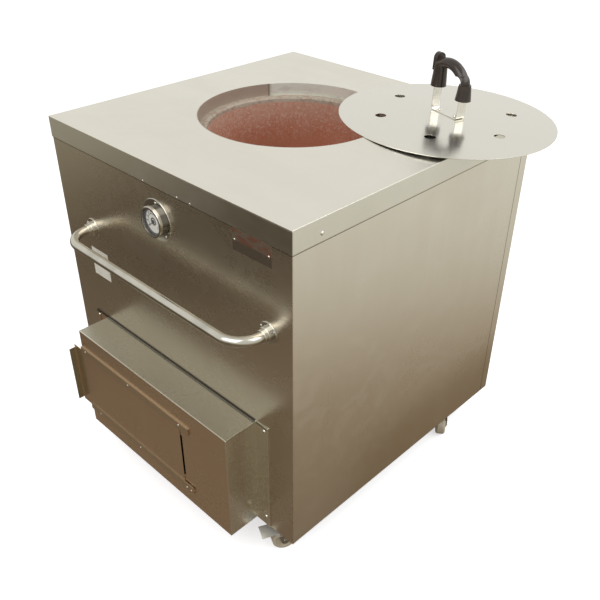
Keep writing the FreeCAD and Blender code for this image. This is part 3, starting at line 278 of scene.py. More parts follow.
class Shader(Graph):
    """A material under construction."""

    BEND_SAMPLES = 6

    def __init__(self, name: str) -> None:
        """Start a material with a Principled shader.

        Args:
            name: the material's name.
        """
        self.material = bpy.data.materials.new(name)
        self.material.use_nodes = True
        super().__init__(self.material.node_tree)
        self.surface = self.tree.nodes["Principled BSDF"]

    def set(self, **values: "Signal | float | tuple") -> None:
        """Feed the Principled shader's sockets, named with underscores for spaces."""
        for key, value in values.items():
            self.feed(self.surface.inputs[key.replace("_", " ")], value)

    def place(self) -> Signal:
        """Object coordinates, which are metres in the frame."""
        return self.node("ShaderNodeTexCoord", output="Object")

    def axes(self) -> tuple[Signal, Signal, Signal]:
        """The three object coordinates as numbers."""
        outputs = self.node("ShaderNodeSeparateXYZ", inputs={0: self.place()}).socket.node.outputs
        return tuple(Signal(self, outputs[index]) for index in range(3))

    def noise(self, cells: "float | Triple", detail: float = 3.0, rough: float = 0.5,
              swirl: float = 0.0) -> Signal:
        """Noise on the object coordinates.

        Args:
            cells: cells per metre, one number or one for each axis.
            detail: octaves.
            rough: strength of the finer octaves.
            swirl: how far the pattern is drawn out of shape.

        Returns:
            The noise's value from 0 to 1.
        """
        scale = cells if isinstance(cells, tuple) else (cells, cells, cells)
        mapped = self.node("ShaderNodeMapping", {}, {"Vector": self.place(), "Scale": scale})
        return self.node("ShaderNodeTexNoise", {}, {"Vector": mapped, "Scale": 1.0, "Detail": detail,
                                                     "Roughness": rough, "Distortion": swirl})

    def bump(self, height: Signal, depth: float, strength: float = 1.0, bend: float = 0.0) -> Signal:
        """Bump normal from a height signal.

        Args:
            height: the height signal.
            depth: height of one unit in metres.
            strength: share of the effect.
            bend: radius in metres to which sharp edges look rounded, or 0.

        Returns:
            The normal.
        """
        inputs = {"Height": height, "Distance": depth, "Strength": strength}
        if bend:
            inputs["Normal"] = self.node("ShaderNodeBevel", {"samples": self.BEND_SAMPLES}, {"Radius": bend})
        return self.node("ShaderNodeBump", {}, inputs)


# ------------------------------------------------------------------ finishes


@dataclass(frozen=True)
class Finish:
    """A procedural material that is known by its name."""

    name: str

    def build(self) -> bpy.types.Material:
        """Make the material.

        Returns:
            The material.
        """
        shader = Shader(self.name)
        self.paint(shader)
        return shader.material

    def paint(self, shader: Shader) -> None:
        """Feed the shader's sockets, in each finish's own way."""
        raise NotImplementedError(self.name)


@dataclass(frozen=True)
class BrushedSteel(Finish):
    """Stainless sheet with a directional grain, wiped smears, fine scratches and soft bends."""

    tint: Colour
    stain: Colour
    roughness: float = 0.26
    grain: Grain = Grain.UPRIGHT
    stain_amount: float = 0.5
    smears: float = 0.05
    bend: float = 1.5 * MM
    grain_depth: float = 0.0006 * MM

    def colour(self, shader: Shader, smear: Signal) -> Signal:
        """Tint of the sheet.

        Args:
            shader: the material.
            smear: where the sheet is smeared.

        Returns:
            The colour.
        """
        return shader.mix(smear * self.stain_amount, self.tint, self.stain)

    def paint(self, shader: Shader) -> None:
        """Run the grain into the bump, streaks and clouds into the tint, and all of them into the shine.

        Args:
            shader: the material under construction.
        """
        grain = shader.noise(self.grain.cells(fine=420.0, long=5.0, even=90.0), 2.0)
        streaks = shader.noise(self.grain.cells(fine=16.0, long=1.1, even=6.0))
        cloud = shader.noise(3.4, swirl=1.6)
        wipes = shader.noise((7.0, 7.0, 11.0), 2.0, 0.45, swirl=3.2).ramp(0.52, 0.60)
        smear = (streaks * 0.45 + cloud * 0.55).ramp(0.36, 0.66)
        shine = self.roughness - 0.02 + smear * 0.05 + grain * 0.03 + wipes * self.smears
        shader.set(Base_Color=self.colour(shader, smear), Metallic=1.0, Roughness=shine.clamped(),
                   Normal=shader.bump(grain, self.grain_depth, 0.5, self.bend))


@dataclass(frozen=True)
class CoverSteel(BrushedSteel):
    """Steel of the cover, whose front skirt is darkened towards its right corner by a painted reflection."""

    skirt_face: float = -404.5 * MM
    skirt_top: float = 911.0 * MM
    # Painted reflection on the front skirt: where it starts and ends across the skirt, and its colour.
    painted_reflection_from: float = 20.0 * MM
    painted_reflection_to: float = 400.0 * MM
    dull: Colour = (0.50, 0.475, 0.395)

    def colour(self, shader: Shader, smear: Signal) -> Signal:
        """Tint of the cover with a painted reflection that darkens the right end of its skirt.

        Args:
            shader: the material under construction.
            smear: where the sheet is smeared.

        Returns:
            The colour.
        """
        across, along, height = shader.axes()
        front = along.ramp(self.skirt_face, self.skirt_face - 1.2 * MM)
        below = height.ramp(self.skirt_top, self.skirt_top - 2.0 * MM)
        # Painted reflection: the skirt's front face darkens towards its right corner.
        painted_reflection = front * below * across.ramp(self.painted_reflection_from, self.painted_reflection_to)
        return shader.mix(painted_reflection, super().colour(shader, smear), self.dull)


@dataclass(frozen=True)
class PanelSteel(BrushedSteel):
    """Steel of a casing panel, with painted reflection low behind the front and painted shade at the skirt and rear
    seam.
    """

    skirt_foot: float = 864.0 * MM
    skirt_gap: float = 3.2 * MM
    skirt_lap: float = 20.0 * MM
    seam_place: float = 375.1 * MM
    seam_half: float = 1.4 * MM
    # Colour of the painted shade under the skirt and in the rear seam.
    shade: Colour = (0.20, 0.175, 0.135)
    # Span and colour of the painted reflection low on the panel.
    painted_reflection_ends: tuple[float, float] = (-360.0 * MM, -60.0 * MM)
    painted_reflection_heights: tuple[float, float] = (340.0 * MM, 160.0 * MM)
    dull: Colour = (0.62, 0.555, 0.455)

    def colour(self, shader: Shader, smear: Signal) -> Signal:
        """Tint of the panel with its painted reflection low down and the painted shade of its gaps.

        Args:
            shader: the material under construction.
            smear: where the sheet is smeared.

        Returns:
            The colour.
        """
        _, along, height = shader.axes()
        # Painted reflection: the panel darkens low down, behind its front end.
        painted_reflection = along.ramp(*self.painted_reflection_ends) * height.ramp(*self.painted_reflection_heights)
        plain = shader.mix(painted_reflection, super().colour(shader, smear), self.dull)
        # Painted shade: a dark band under the skirt's foot and a dark line in the rear seam's gap.
        gap = height.within(self.skirt_foot - self.skirt_gap, self.skirt_foot + self.skirt_lap)
        seam = along.within(self.seam_place - self.seam_half, self.seam_place + self.seam_half)
        return shader.mix((gap + seam).clamped() * 0.85, plain, self.shade)


@dataclass(frozen=True)
class BoxSteel(BrushedSteel):
    """Steel of the fire box: brown on its front, with painted light and shade giving its roof and right side greys
    of their own.
    """

    # Painted light and shade: greys for the roof and right side, a highlight for the bends, a shadow for the roof's
    # gap.
    roof: Colour = (0.445, 0.430, 0.360)
    flank: Colour = (0.80, 0.78, 0.68)
    bright: Colour = (0.86, 0.83, 0.74)
    gap: Colour = (0.07, 0.06, 0.048)
    roof_height: float = 0.0
    flank_place: float = 0.0
    front_place: float = 0.0

    def colour(self, shader: Shader, smear: Signal) -> Signal:
        """Tint of the front, with painted greys on the side and roof, painted highlights on the bends and the
        painted shadow of the roof's gap.

        Args:
            shader: the material under construction.
            smear: where the sheet is smeared.

        Returns:
            The colour.
        """
        across, along, height = shader.axes()
        side, top, face = self.flank_place, self.roof_height, self.front_place
        tone = super().colour(shader, smear)
        # Painted light and shade: the right side and the roof take greys of their own.
        tone = shader.mix(across.ramp(side - 2.0 * MM, side - 0.8 * MM), tone, self.flank)
        tone = shader.mix(height.ramp(top - 3.0 * MM, top - 1.0 * MM), tone, self.roof)
        # Painted highlights along the front's bends and on the flange beside the wall.
        upper = height.ramp(top - 2.0 * MM, top - 0.5 * MM)
        outer = across.ramp(side - 1.6 * MM, side - 0.4 * MM)
        bends = along.ramp(face + 3.5 * MM, face + 1.5 * MM) * (upper + outer).clamped()
        wing = across.within(side + 0.6 * MM, side + 3.2 * MM)
        wing = wing + across.ramp(side + 37.5 * MM, side + 39.0 * MM)
        tone = shader.mix((bends + wing).clamped() * 0.8, tone, self.bright)
        # Painted shadow in the gap just above the roof.
        painted_gap_shadow = height.ramp(top + 0.1 * MM, top + 0.6 * MM) * across.ramp(side, side - 1.0 * MM)
        return shader.mix(painted_gap_shadow, tone, self.gap)


@dataclass(frozen=True)
class ShutterSteel(BrushedSteel):
    """Steel of the shutter and its rails, whose folded handle stands out grey."""

    handle: Colour = (0.52, 0.53, 0.41)
    plate_front: float = 0.0
    # Colour of the painted shading on the rails' top faces.
    ledge: Colour = (0.45, 0.36, 0.26)
    ledges: tuple[float, ...] = ()

    def colour(self, shader: Shader, smear: Signal) -> Signal:
        """Tint of the plate, with the grey handle before it and painted shading on the rails' tops.

        Args:
            shader: the material under construction.
            smear: where the sheet is smeared.

        Returns:
            The colour.
        """
        _, along, height = shader.axes()
        before = along.ramp(self.plate_front + 0.5 * MM, self.plate_front - 1.0 * MM)
        tone = shader.mix(before, super().colour(shader, smear), self.handle)
        # Painted shading on each rail's top face.
        for ledge in self.ledges:
            tone = shader.mix(height.within(ledge - 0.6 * MM, ledge + 1.0 * MM, 0.3 * MM), tone, self.ledge)
        return tone


@dataclass(frozen=True)
class CollarSteel(Finish):
    """Steel of the mouth's collar: darker on one side of its welded seam, brighter on the other."""

    dull: Colour = (0.46, 0.39, 0.32)
    bright: Colour = (0.84, 0.88, 0.80)
    soiled: Colour = (0.50, 0.45, 0.38)
    weld: Colour = (0.12, 0.10, 0.08)
    seam: float = -68.0 * MM
    seam_half: float = 3.0 * MM
    seam_normal: tuple[float, float] = (0.72, 0.69)

    def paint(self, shader: Shader) -> None:
        """Part the tint at the seam and cloud it.

        Args:
            shader: the material under construction.
        """
        across, along, _ = shader.axes()
        aside = across * self.seam_normal[0] + along * self.seam_normal[1]
        cloud = shader.noise((22.0, 22.0, 60.0), 4.0, 0.6)
        colour = shader.mix(aside.ramp(self.seam - 6.0 * MM, self.seam + 12.0 * MM), self.dull, self.bright)
        colour = shader.mix(cloud.ramp(0.45, 0.7) * 0.4, colour, self.soiled)
        seam = aside.within(self.seam - self.seam_half, self.seam + self.seam_half, 1.0 * MM)
        colour = shader.mix(seam * 0.6, colour, self.weld)
        shader.set(Base_Color=colour, Metallic=0.5, Roughness=(cloud * 0.12 + 0.32).clamped(),
                   Normal=shader.bump(cloud, 0.04 * MM, 0.5))


@dataclass(frozen=True)
class WornPlate(Finish):
    """Bare plate with reddish tarnish above and dark wear below."""

    foot: float
    top: float
    clear: Colour = (0.40, 0.31, 0.25)
    tarnish: Colour = (0.42, 0.215, 0.155)
    rubbed: Colour = (0.34, 0.28, 0.22)
    dark: Colour = (0.15, 0.12, 0.09)
    divide: tuple[float, float] = (0.42, 0.56)

    def paint(self, shader: Shader) -> None:
        """Part the plate at its divide, given as shares of its height.

        Args:
            shader: the material under construction.
        """
        _, _, height = shader.axes()
        wear = shader.noise(950.0, 2.0, 0.7)
        cloud = shader.noise((34.0, 34.0, 70.0))
        upper = height.ramp(*(self.foot + (self.top - self.foot) * share for share in self.divide))
        above = shader.mix(cloud.ramp(0.42, 0.56), self.clear, self.tarnish)
        below = shader.mix(wear.ramp(0.30, 0.70), self.rubbed, self.dark)
        shader.set(Base_Color=shader.mix(upper, below, above), Metallic=0.85,
                   Roughness=(wear * 0.1 + 0.28).clamped(), Normal=shader.bump(wear, 0.02 * MM, 0.5))


@dataclass(frozen=True)
class PolishedSteel(Finish):
    """Bright steel with faint handling marks."""

    tint: Colour
    roughness: float = 0.16
    bend: float = 0.8 * MM
    handled: float = 0.82

    def paint(self, shader: Shader) -> None:
        """Cloud the tint down to its handled share, and run the marks into shine and bump.

        Args:
            shader: the material under construction.
        """
        marks = shader.noise(90.0, 5.0, 0.7)
        cloud = shader.noise(18.0).ramp(0.4, 0.7)
        shader.set(Base_Color=shader.mix(cloud, self.tint, tuple(self.handled * part for part in self.tint)),
                   Metallic=1.0, Roughness=(self.roughness + marks * 0.12 - 0.05).clamped(),
                   Normal=shader.bump(marks, 0.01 * MM, 0.5, self.bend))


@dataclass(frozen=True)
class FiredClay(Finish):
    """Red-brown clay with pale and dark specks and a floury bloom near the lip."""

    body: Colour = (0.60, 0.245, 0.145)
    pale: Colour = (0.66, 0.36, 0.25)
    # Colour of the painted light deep in the pot.
    painted_light: Colour = (0.82, 0.385, 0.245)
    soot: Colour = (0.30, 0.125, 0.080)
    blot: Colour = (0.84, 0.66, 0.53)
    speck: Colour = (0.80, 0.62, 0.50)
    flour: Colour = (0.74, 0.56, 0.45)
    lip_height: float = 884.0 * MM
    bloom_reach: float = 90.0 * MM
    painted_light_heights: tuple[float, float] = (800.0 * MM, 620.0 * MM)
    soot_heights: tuple[float, float] = (450.0 * MM, 180.0 * MM)

    def paint(self, shader: Shader) -> None:
        """Lay the blots, specks and bloom over the clay from the lip downwards.

        Args:
            shader: the material under construction.
        """
        _, _, height = shader.axes()
        specks = shader.noise(260.0, 2.0, 0.6)
        patches = shader.noise((14.0, 14.0, 9.0), 5.0, 0.6)
        blots = shader.noise(150.0, 4.0, 0.75)
        bloom = height.ramp(self.lip_height - self.bloom_reach, self.lip_height) * shader.noise(60.0, 4.0)
        dusty = height.ramp(self.lip_height - 150.0 * MM, self.lip_height - 30.0 * MM)
        colour = shader.mix(patches.ramp(0.35, 0.7) * 0.45, self.body, self.pale)
        # Painted light: the clay brightens deeper in the pot, where less light reaches.
        colour = shader.mix(height.ramp(*self.painted_light_heights) * 0.9, colour, self.painted_light)
        colour = shader.mix(blots.ramp(0.50, 0.62) * (dusty * 0.72), colour, self.blot)
        colour = shader.mix(specks.ramp(0.64, 0.72) * (dusty * 0.8 + 0.08), colour, self.speck)
        colour = shader.mix(specks.ramp(0.36, 0.28) * 0.7, colour, self.soot)
        colour = shader.mix(bloom * 0.9, colour, self.flour)
        colour = shader.mix(height.ramp(*self.soot_heights) * 0.6, colour, self.soot)
        shader.set(Base_Color=colour, Roughness=0.95,
                   Normal=shader.bump(specks + patches * 2.0, 0.8 * MM, 0.8))


@dataclass(frozen=True)
class RoughMortar(Finish):
    """Pale trowelled mortar with grit and clay dust."""

    pale: Colour = (0.47, 0.41, 0.33)
    dust: Colour = (0.37, 0.24, 0.17)
    grit: Colour = (0.80, 0.77, 0.70)

    def paint(self, shader: Shader) -> None:
        """Dust the lumps and scatter the grit.

        Args:
            shader: the material under construction.
        """
        grit = shader.noise(420.0, 3.0, 0.7)
        lumps = shader.noise(85.0, 5.0, 0.75)
        colour = shader.mix(lumps.ramp(0.44, 0.66), self.pale, self.dust)
        colour = shader.mix(grit.ramp(0.62, 0.75) * 0.7, colour, self.grit)
        shader.set(Base_Color=colour, Roughness=0.97, Normal=shader.bump(lumps * 2.0 + grit, 2.0 * MM, 0.9))


@dataclass(frozen=True)
class Moulded(Finish):
    """Moulded plastic or enamel, with a fine surface and worn edges or dust."""

    colour: Colour
    dust: Colour
    roughness: float = 0.35
    coat: float = 0.0
    texture: float = 0.03 * MM
    metallic: float = 0.0

    def paint(self, shader: Shader) -> None:
        """Cloud the colour with dust and give it a fine surface.

        Args:
            shader: the material under construction.
        """
        cloud = shader.noise(35.0, 5.0, 0.6)
        fine = shader.noise(700.0, 2.0)
        shader.set(Base_Color=shader.mix(cloud.ramp(0.45, 0.75) * 0.5, self.colour, self.dust),
                   Roughness=(self.roughness + cloud * 0.12 - 0.05).clamped(), Metallic=self.metallic,
                   Coat_Weight=self.coat, Normal=shader.bump(fine, self.texture, 0.7))


@dataclass(frozen=True)
class LensGlass(Finish):
    """Clear cover glass with faint smudges."""

    tint: Colour = (0.90, 0.91, 0.90)

    def paint(self, shader: Shader) -> None:
        """Let the dial show through and the smudges catch a little light.

        Args:
            shader: the material under construction.
        """
        smudge = shader.noise(60.0)
        shader.set(Base_Color=self.tint, Roughness=(smudge * 0.08).clamped(), IOR=1.45,
                   Alpha=(smudge * 0.06 + 0.02).clamped())


@dataclass(frozen=True)
class GaugeFace(Finish):
    """White enamel dial with a ring of generic marks; its rings are shares of the radius."""

    centre: Vector
    radius: float
    marks: int = 10
    sweep: float = math.radians(270)
    mark_ring: tuple[float, float] = (0.58, 0.78)
    arc_ring: tuple[float, float] = (0.52, 0.575)
    hub_ring: tuple[float, float] = (0.17, 0.29)
    rim_ring: tuple[float, float] = (0.80, 0.84)
    enamel: Colour = (0.86, 0.85, 0.80)
    yellowed: Colour = (0.74, 0.71, 0.64)
    ink: Colour = (0.055, 0.052, 0.048)

    def paint(self, shader: Shader) -> None:
        """Draw the marks and the arc above the gap of the sweep, then the hub and the rim.

        Args:
            shader: the material under construction.
        """
        across, _, up = shader.axes()
        across, up = across - self.centre.x, up - self.centre.z
        distance = across.hypot(up) * (1.0 / self.radius)
        turn = (-across).angle(-up)
        swept = abs(turn).ramp(0.74, 0.80)
        share = turn * (self.marks / self.sweep)
        marks = abs(share - round(share)).ramp(0.10, 0.06) * distance.within(*self.mark_ring, 0.02)
        arc = distance.within(*self.arc_ring, 0.015)
        rings = distance.ramp(*self.rim_ring) + distance.within(*self.hub_ring, 0.02)
        drawn = ((marks + arc) * swept + rings).clamped()
        worn = shader.noise(300.0).ramp(0.5, 0.8) * 0.3
        shader.set(Base_Color=shader.mix(drawn, shader.mix(worn, self.enamel, self.yellowed), self.ink),
                   Roughness=0.45)


# ------------------------------------------------------------------ view and stage


@dataclass
class Viewpoint:
    """Camera beside the front right corner, at standing eye height."""

    position: Triple = (1.2164, -1.2100, 1.5181)
    azimuth: float = math.radians(43.76)
    elevation: float = math.radians(33.35)
    roll: float = math.radians(0.70)
    focal_pixels: float = 746.8
    frame_pixels: float = 600.0
    centre_pixels: tuple[float, float] = (308.4, 302.6)
    sensor: float = 36.0
    nearest: float = 50.0 * MM

    def build(self) -> None:
        """Place the camera and make it the scene's."""
        data = bpy.data.cameras.new("viewpoint")
        data.sensor_width = self.sensor
        data.lens = self.focal_pixels / self.frame_pixels * self.sensor
        middle = self.frame_pixels / 2
        data.shift_x = (middle - self.centre_pixels[0]) / self.frame_pixels
        data.shift_y = (self.centre_pixels[1] - middle) / self.frame_pixels
        data.clip_start = self.nearest
        camera = bpy.data.objects.new("viewpoint", data)
        camera.matrix_world = Matrix.Translation(self.position) @ self._turn()
        bpy.context.scene.collection.objects.link(camera)
        bpy.context.scene.camera = camera

    def _turn(self) -> Matrix:
        """Rotation from the azimuth, the elevation and the roll.

        Returns:
            The camera's rotation.
        """
        level = math.cos(self.elevation)
        ahead = Vector((-math.sin(self.azimuth) * level, math.cos(self.azimuth) * level,
                        -math.sin(self.elevation)))
        right = Vector((math.cos(self.azimuth), math.sin(self.azimuth), 0.0))
        up = right.cross(ahead)
        turned_right = right * math.cos(self.roll) + up * math.sin(self.roll)
        turned_up = up * math.cos(self.roll) - right * math.sin(self.roll)
        return Matrix((turned_right, turned_up, -ahead)).transposed().to_4x4()


@dataclass(frozen=True)
class Lamp:
    """Soft square lamp that looks at the middle of the tandoor."""

    name: str
    place: Triple
    side: float
    watts: float
    target: Triple = (0.0, 0.0, 0.5)

    def build(self) -> None:
        """Add the lamp."""
        data = bpy.data.lights.new(self.name, "AREA")
        data.shape = "SQUARE"
        data.size = self.side
        data.energy = self.watts
        lamp = bpy.data.objects.new(self.name, data)
        lamp.location = self.place
        lamp.rotation_euler = (Vector(self.target) - Vector(self.place)).to_track_quat("-Z", "Y").to_euler()
        bpy.context.scene.collection.objects.link(lamp)


@dataclass
class Studio:
    """White floor with a soft shadow; metal sees a brown floor near by and a pale room beyond."""

    floor_half: float = 14.0
    floor_white: Colour = (0.80, 0.80, 0.805)
    floor_lift: float = 0.60
    floor_bounce: Colour = (0.30, 0.26, 0.21)
    floor_steps: tuple[tuple[float, Colour], ...] = (
        (0.10, (0.205, 0.158, 0.110)), (0.20, (0.255, 0.192, 0.125)), (0.31, (0.305, 0.240, 0.168)),
        (0.40, (0.430, 0.365, 0.280)), (0.56, (0.610, 0.585, 0.495)), (0.90, (0.745, 0.735, 0.665)))
    floor_turn: tuple[float, float] = (0.95, 0.40)
    floor_reach: float = 2.5
    left_floor: Colour = (0.300, 0.280, 0.215)
    left_ends: tuple[float, float] = (-1.5, -2.6)
    dark_patch: Colour = (0.082, 0.068, 0.050)
    dark_place: tuple[float, float] = (-1.05, -1.60)
    dark_radii: tuple[float, float] = (1.25, 0.20)
    white: Colour = (1.0, 1.0, 1.0)
    room: Colour = (0.86, 0.85, 0.815)
    ambient: Colour = (0.55, 0.55, 0.5445)
    lamps: tuple[Lamp, ...] = (Lamp("key", (0.5, -3.0, 3.6), 3.4, 70.0), Lamp("side", (3.0, 0.6, 3.2), 3.0, 46.0),
                               Lamp("back", (2.0, 2.6, 3.4), 3.0, 36.0))

    def build(self) -> None:
        """Make the floor, the world and the lamps."""
        self._floor()
        self._world()
        for lamp in self.lamps:
            lamp.build()
        bpy.context.scene.view_settings.view_transform = "Standard"

    def _floor(self) -> None:
        """Floor seen white by the camera and brown to pale by the metal."""
        work = bmesh.new()
        bmesh.ops.create_grid(work, x_segments=1, y_segments=1, size=self.floor_half)
        mesh = bpy.data.meshes.new("floor")
        work.to_mesh(mesh)
        work.free()
        floor = bpy.data.objects.new("floor", mesh)
        bpy.context.scene.collection.objects.link(floor)
        shader = Shader("floor")
        camera_ray = shader.ray("Is Camera Ray")
        shader.set(Base_Color=shader.mix(camera_ray, self.floor_bounce, self.floor_white), Roughness=1.0,
                   Specular_IOR_Level=0.0)
        plain = Signal(shader, shader.surface.outputs[0])
        lift = shader.node("ShaderNodeEmission", {}, {"Color": self.white, "Strength": camera_ray * self.floor_lift})
        lit = shader.node("ShaderNodeAddShader", {}, {0: plain, 1: lift})
        glow = shader.node("ShaderNodeEmission", {}, {"Color": self._reflected(shader), "Strength": 1.0})
        seen = shader.node("ShaderNodeMixShader", {}, {0: shader.ray("Is Glossy Ray"), 1: lit, 2: glow})
        shader.feed(shader.tree.nodes["Material Output"].inputs["Surface"], seen)
        mesh.materials.append(shader.material)
        floor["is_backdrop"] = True

    def _reflected(self, shader: Shader) -> Signal:
        """Colour of the floor as the metal sees it.

        Args:
            shader: the floor's material.

        Returns:
            Steps from brown to pale, with a paler left end and a dark patch.
        """
        across, along, _ = shader.axes()
        away = (across * self.floor_turn[0] + along * self.floor_turn[1]) * (1.0 / self.floor_reach)
        steps = shader.node("ShaderNodeValToRGB", {"stops": self.floor_steps}, {"Fac": away})
        tone = shader.mix(across.ramp(*self.left_ends), steps, self.left_floor)
        from_patch = (across - self.dark_place[0]).hypot(along - self.dark_place[1])
        return shader.mix(from_patch.ramp(*self.dark_radii), tone, self.dark_patch)

    def _world(self) -> None:
        """White for the camera, a pale room for the metal, a plain ambient level for the rest."""
        world = bpy.data.worlds.new("room")
        bpy.context.scene.world = world
        world.use_nodes = True
        graph = Graph(world.node_tree)
        seen = graph.mix(graph.ray("Is Glossy Ray"), self.ambient, self.room)
        seen = graph.mix(graph.ray("Is Camera Ray"), seen, self.white)
        background = graph.tree.nodes["Background"]
        graph.feed(background.inputs["Color"], seen)
        graph.feed(background.inputs["Strength"], 1.0)


# ------------------------------------------------------------------ pieces


MATERIALS: dict[str, bpy.types.Material] = {}


def material_of(finish: Finish) -> bpy.types.Material:
    """Material of a finish, which is built once.

    Args:
        finish: the finish.

    Returns:
        Its material.
    """
    if finish.name not in MATERIALS:
        MATERIALS[finish.name] = finish.build()
    return MATERIALS[finish.name]


def dress(nodes: Nodes, finish: Finish, *names: str) -> None:
    """Give nodes a finish.

    Args:
        nodes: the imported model's nodes by name.
        finish: the finish.
        names: the nodes to dress.
    """
    for name in names:
        nodes[name].data.materials.clear()
        nodes[name].data.materials.append(material_of(finish))
    LOG.info("%s: %s", finish.name, ", ".join(names))


def slab(low: Vector, high: Vector) -> bmesh.types.BMesh:
    """Box between two corners.

    Args:
        low: lowest corner.
        high: highest corner.

    Returns:
        The geometry.
    """
    work = bmesh.new()
    bmesh.ops.create_cube(work, size=1.0)
    bmesh.ops.scale(work, vec=high - low, verts=work.verts)
    bmesh.ops.translate(work, vec=(low + high) / 2, verts=work.verts)
    return work


def new_piece(name: str, work: bmesh.types.BMesh, body: str, finish: Finish) -> None:
    """Turn a bmesh into a piece that rides on a body.

    Args:
        name: the piece's name.
        work: its geometry, already in place; it is freed.
        body: the body that it rides on.
        finish: its finish.
    """
    bmesh.ops.remove_doubles(work, verts=work.verts, dist=0.001 * MM)
    bmesh.ops.recalc_face_normals(work, faces=work.faces)
    mesh = bpy.data.meshes.new(name)
    work.to_mesh(mesh)
    work.free()
    mesh.materials.append(material_of(finish))
    made = bpy.data.objects.new(name, mesh)
    bpy.context.scene.collection.objects.link(made)
    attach(made, body)
    LOG.info("%s: %d faces on %s", name, len(mesh.polygons), body)


# ------------------------------------------------------------------ sub-assemblies


@dataclass
class Casing:
    """Cover, panels and collar, with a bare paper label on the front and rivet heads under the skirt."""

    label_left: float = -308.0 * MM
    label_right: float = -238.0 * MM
    label_foot: float = 527.0 * MM
    label_top: float = 604.0 * MM
    label_thickness: float = 0.5 * MM
    rivet_places: tuple[float, ...] = (-40.0 * MM, 76.0 * MM, 118.0 * MM)
    rivet_height: float = 866.0 * MM
    rivet_radius: float = 2.6 * MM
    rivet_rise: float = 0.4
    cover: Finish = CoverSteel("cover_steel", (0.81, 0.785, 0.71), (0.76, 0.735, 0.66), roughness=0.30,
                               grain=Grain.ACROSS, stain_amount=0.6, smears=0.02, bend=2.0 * MM)
    # The front panel's darker, browner tint is partly a painted reflection, over the steel's own tint.
    front: Finish = PanelSteel("front_steel", (0.67, 0.61, 0.51), (0.62, 0.555, 0.455), roughness=0.25,
                               grain=Grain.ACROSS, stain_amount=0.6, smears=0.02)
    side: Finish = PanelSteel("side_steel", (0.81, 0.77, 0.69), (0.76, 0.71, 0.62), roughness=0.28,
                              grain=Grain.UPRIGHT, stain_amount=0.6, smears=0.04)
    collar: Finish = CollarSteel("collar_steel")
    paper: Finish = Moulded("label_paper", (0.82, 0.80, 0.72), (0.62, 0.57, 0.47), roughness=0.8)
    rivet: Finish = PolishedSteel("rivet_bright", (0.86, 0.84, 0.78))

    def build(self, nodes: Nodes) -> None:
        """Dress the sheets, then add the label and the rivet heads.

        Args:
            nodes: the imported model's nodes by name.
        """
        dress(nodes, self.cover, "top_cover")
        dress(nodes, self.front, "front_panel")
        dress(nodes, self.side, "left_side_panel", "right_side_panel", "rear_panel")
        dress(nodes, self.collar, "mouth_collar")
        self._label(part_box("front_panel")[0].y)
        self._rivets(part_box("top_cover")[0].y)

    def _label(self, front: float) -> None:
        """Add the label.

        Args:
            front: place of the front panel's outer face.
        """
        low = Vector((self.label_left, front - self.label_thickness, self.label_foot))
        high = Vector((self.label_right, front, self.label_top))
        new_piece("bare_label", slab(low, high), "casing", self.paper)

    def _rivets(self, skirt: float) -> None:
        """Add the rivet heads, which rise from the skirt by a share of their radius.

        Args:
            skirt: place of the front skirt's outer face.
        """
        work = bmesh.new()
        for across in self.rivet_places:
            head = Matrix.Translation((across, skirt, self.rivet_height))
            head = head @ Matrix.Diagonal((1.0, self.rivet_rise, 1.0, 1.0))
            bmesh.ops.create_uvsphere(work, u_segments=16, v_segments=10, radius=self.rivet_radius, matrix=head)
        new_piece("skirt_rivets", work, "casing", self.rivet)


@dataclass
class Hearth:
    """Clay pot, mortar and the heating parts."""

    clay: Finish = FiredClay("fired_clay")
    mortar: Finish = RoughMortar("mortar")
    firebrick: Finish = RoughMortar("firebrick", (0.50, 0.40, 0.28), (0.34, 0.24, 0.16))
    tray: Finish = Moulded("tray_ceramic", (0.62, 0.58, 0.50), (0.40, 0.34, 0.28), roughness=0.7)
    element: Finish = Moulded("element_scale", (0.10, 0.095, 0.09), (0.20, 0.15, 0.12), roughness=0.6,
                              metallic=0.8)
    wool: Finish = Moulded("wool", (0.55, 0.49, 0.30), (0.42, 0.37, 0.24), roughness=1.0, texture=2.0 * MM)
    terminals: Finish = Moulded("terminal_moulding", (0.60, 0.58, 0.52), (0.45, 0.42, 0.36), roughness=0.5)
    gland: Finish = Moulded("gland_moulding", (0.03, 0.03, 0.03), (0.09, 0.085, 0.08), roughness=0.5)

    def build(self, nodes: Nodes) -> None:
        """Dress the pot and what lies in and round it.

        Args:
            nodes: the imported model's nodes by name.
        """
        dress(nodes, self.clay, "clay_pot")
        dress(nodes, self.mortar, "mortar_ring")
        dress(nodes, self.firebrick, "hearth_slab")
        dress(nodes, self.tray, "element_tray")
        dress(nodes, self.element, "heating_element")
        dress(nodes, self.wool, "insulation")
        dress(nodes, self.terminals, "terminal_block")
        dress(nodes, self.gland, "cable_gland")


@dataclass
class FireBox:
    """Fire box, rails and shutter."""

    tint: Colour = (0.79, 0.64, 0.49)
    wiped: Colour = (0.72, 0.57, 0.43)
    roof_drop: float = 5.0 * MM
    wing: float = 41.0 * MM

    def build(self, nodes: Nodes) -> None:
        """Dress the box, whose flange stands above its roof and beside its wall, and the shutter in its rails.

        Args:
            nodes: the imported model's nodes by name.
        """
        low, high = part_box("fire_box")
        box = BoxSteel("box_steel", self.tint, self.wiped, roughness=0.24, grain=Grain.ACROSS, smears=0.02,
                       roof_height=high.z - self.roof_drop, flank_place=high.x - self.wing, front_place=low.y)
        dress(nodes, box, "fire_box")
        ledges = tuple(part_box(name)[1].z for name in ("rail_top", "rail_bottom"))
        shutter = ShutterSteel("shutter_steel", self.tint, self.wiped, roughness=0.22, grain=Grain.ACROSS,
                               smears=0.02, bend=0.6 * MM, plate_front=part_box("rail_top")[0].y, ledges=ledges)
        dress(nodes, shutter, "rail_top", "rail_bottom", "shutter_plate")


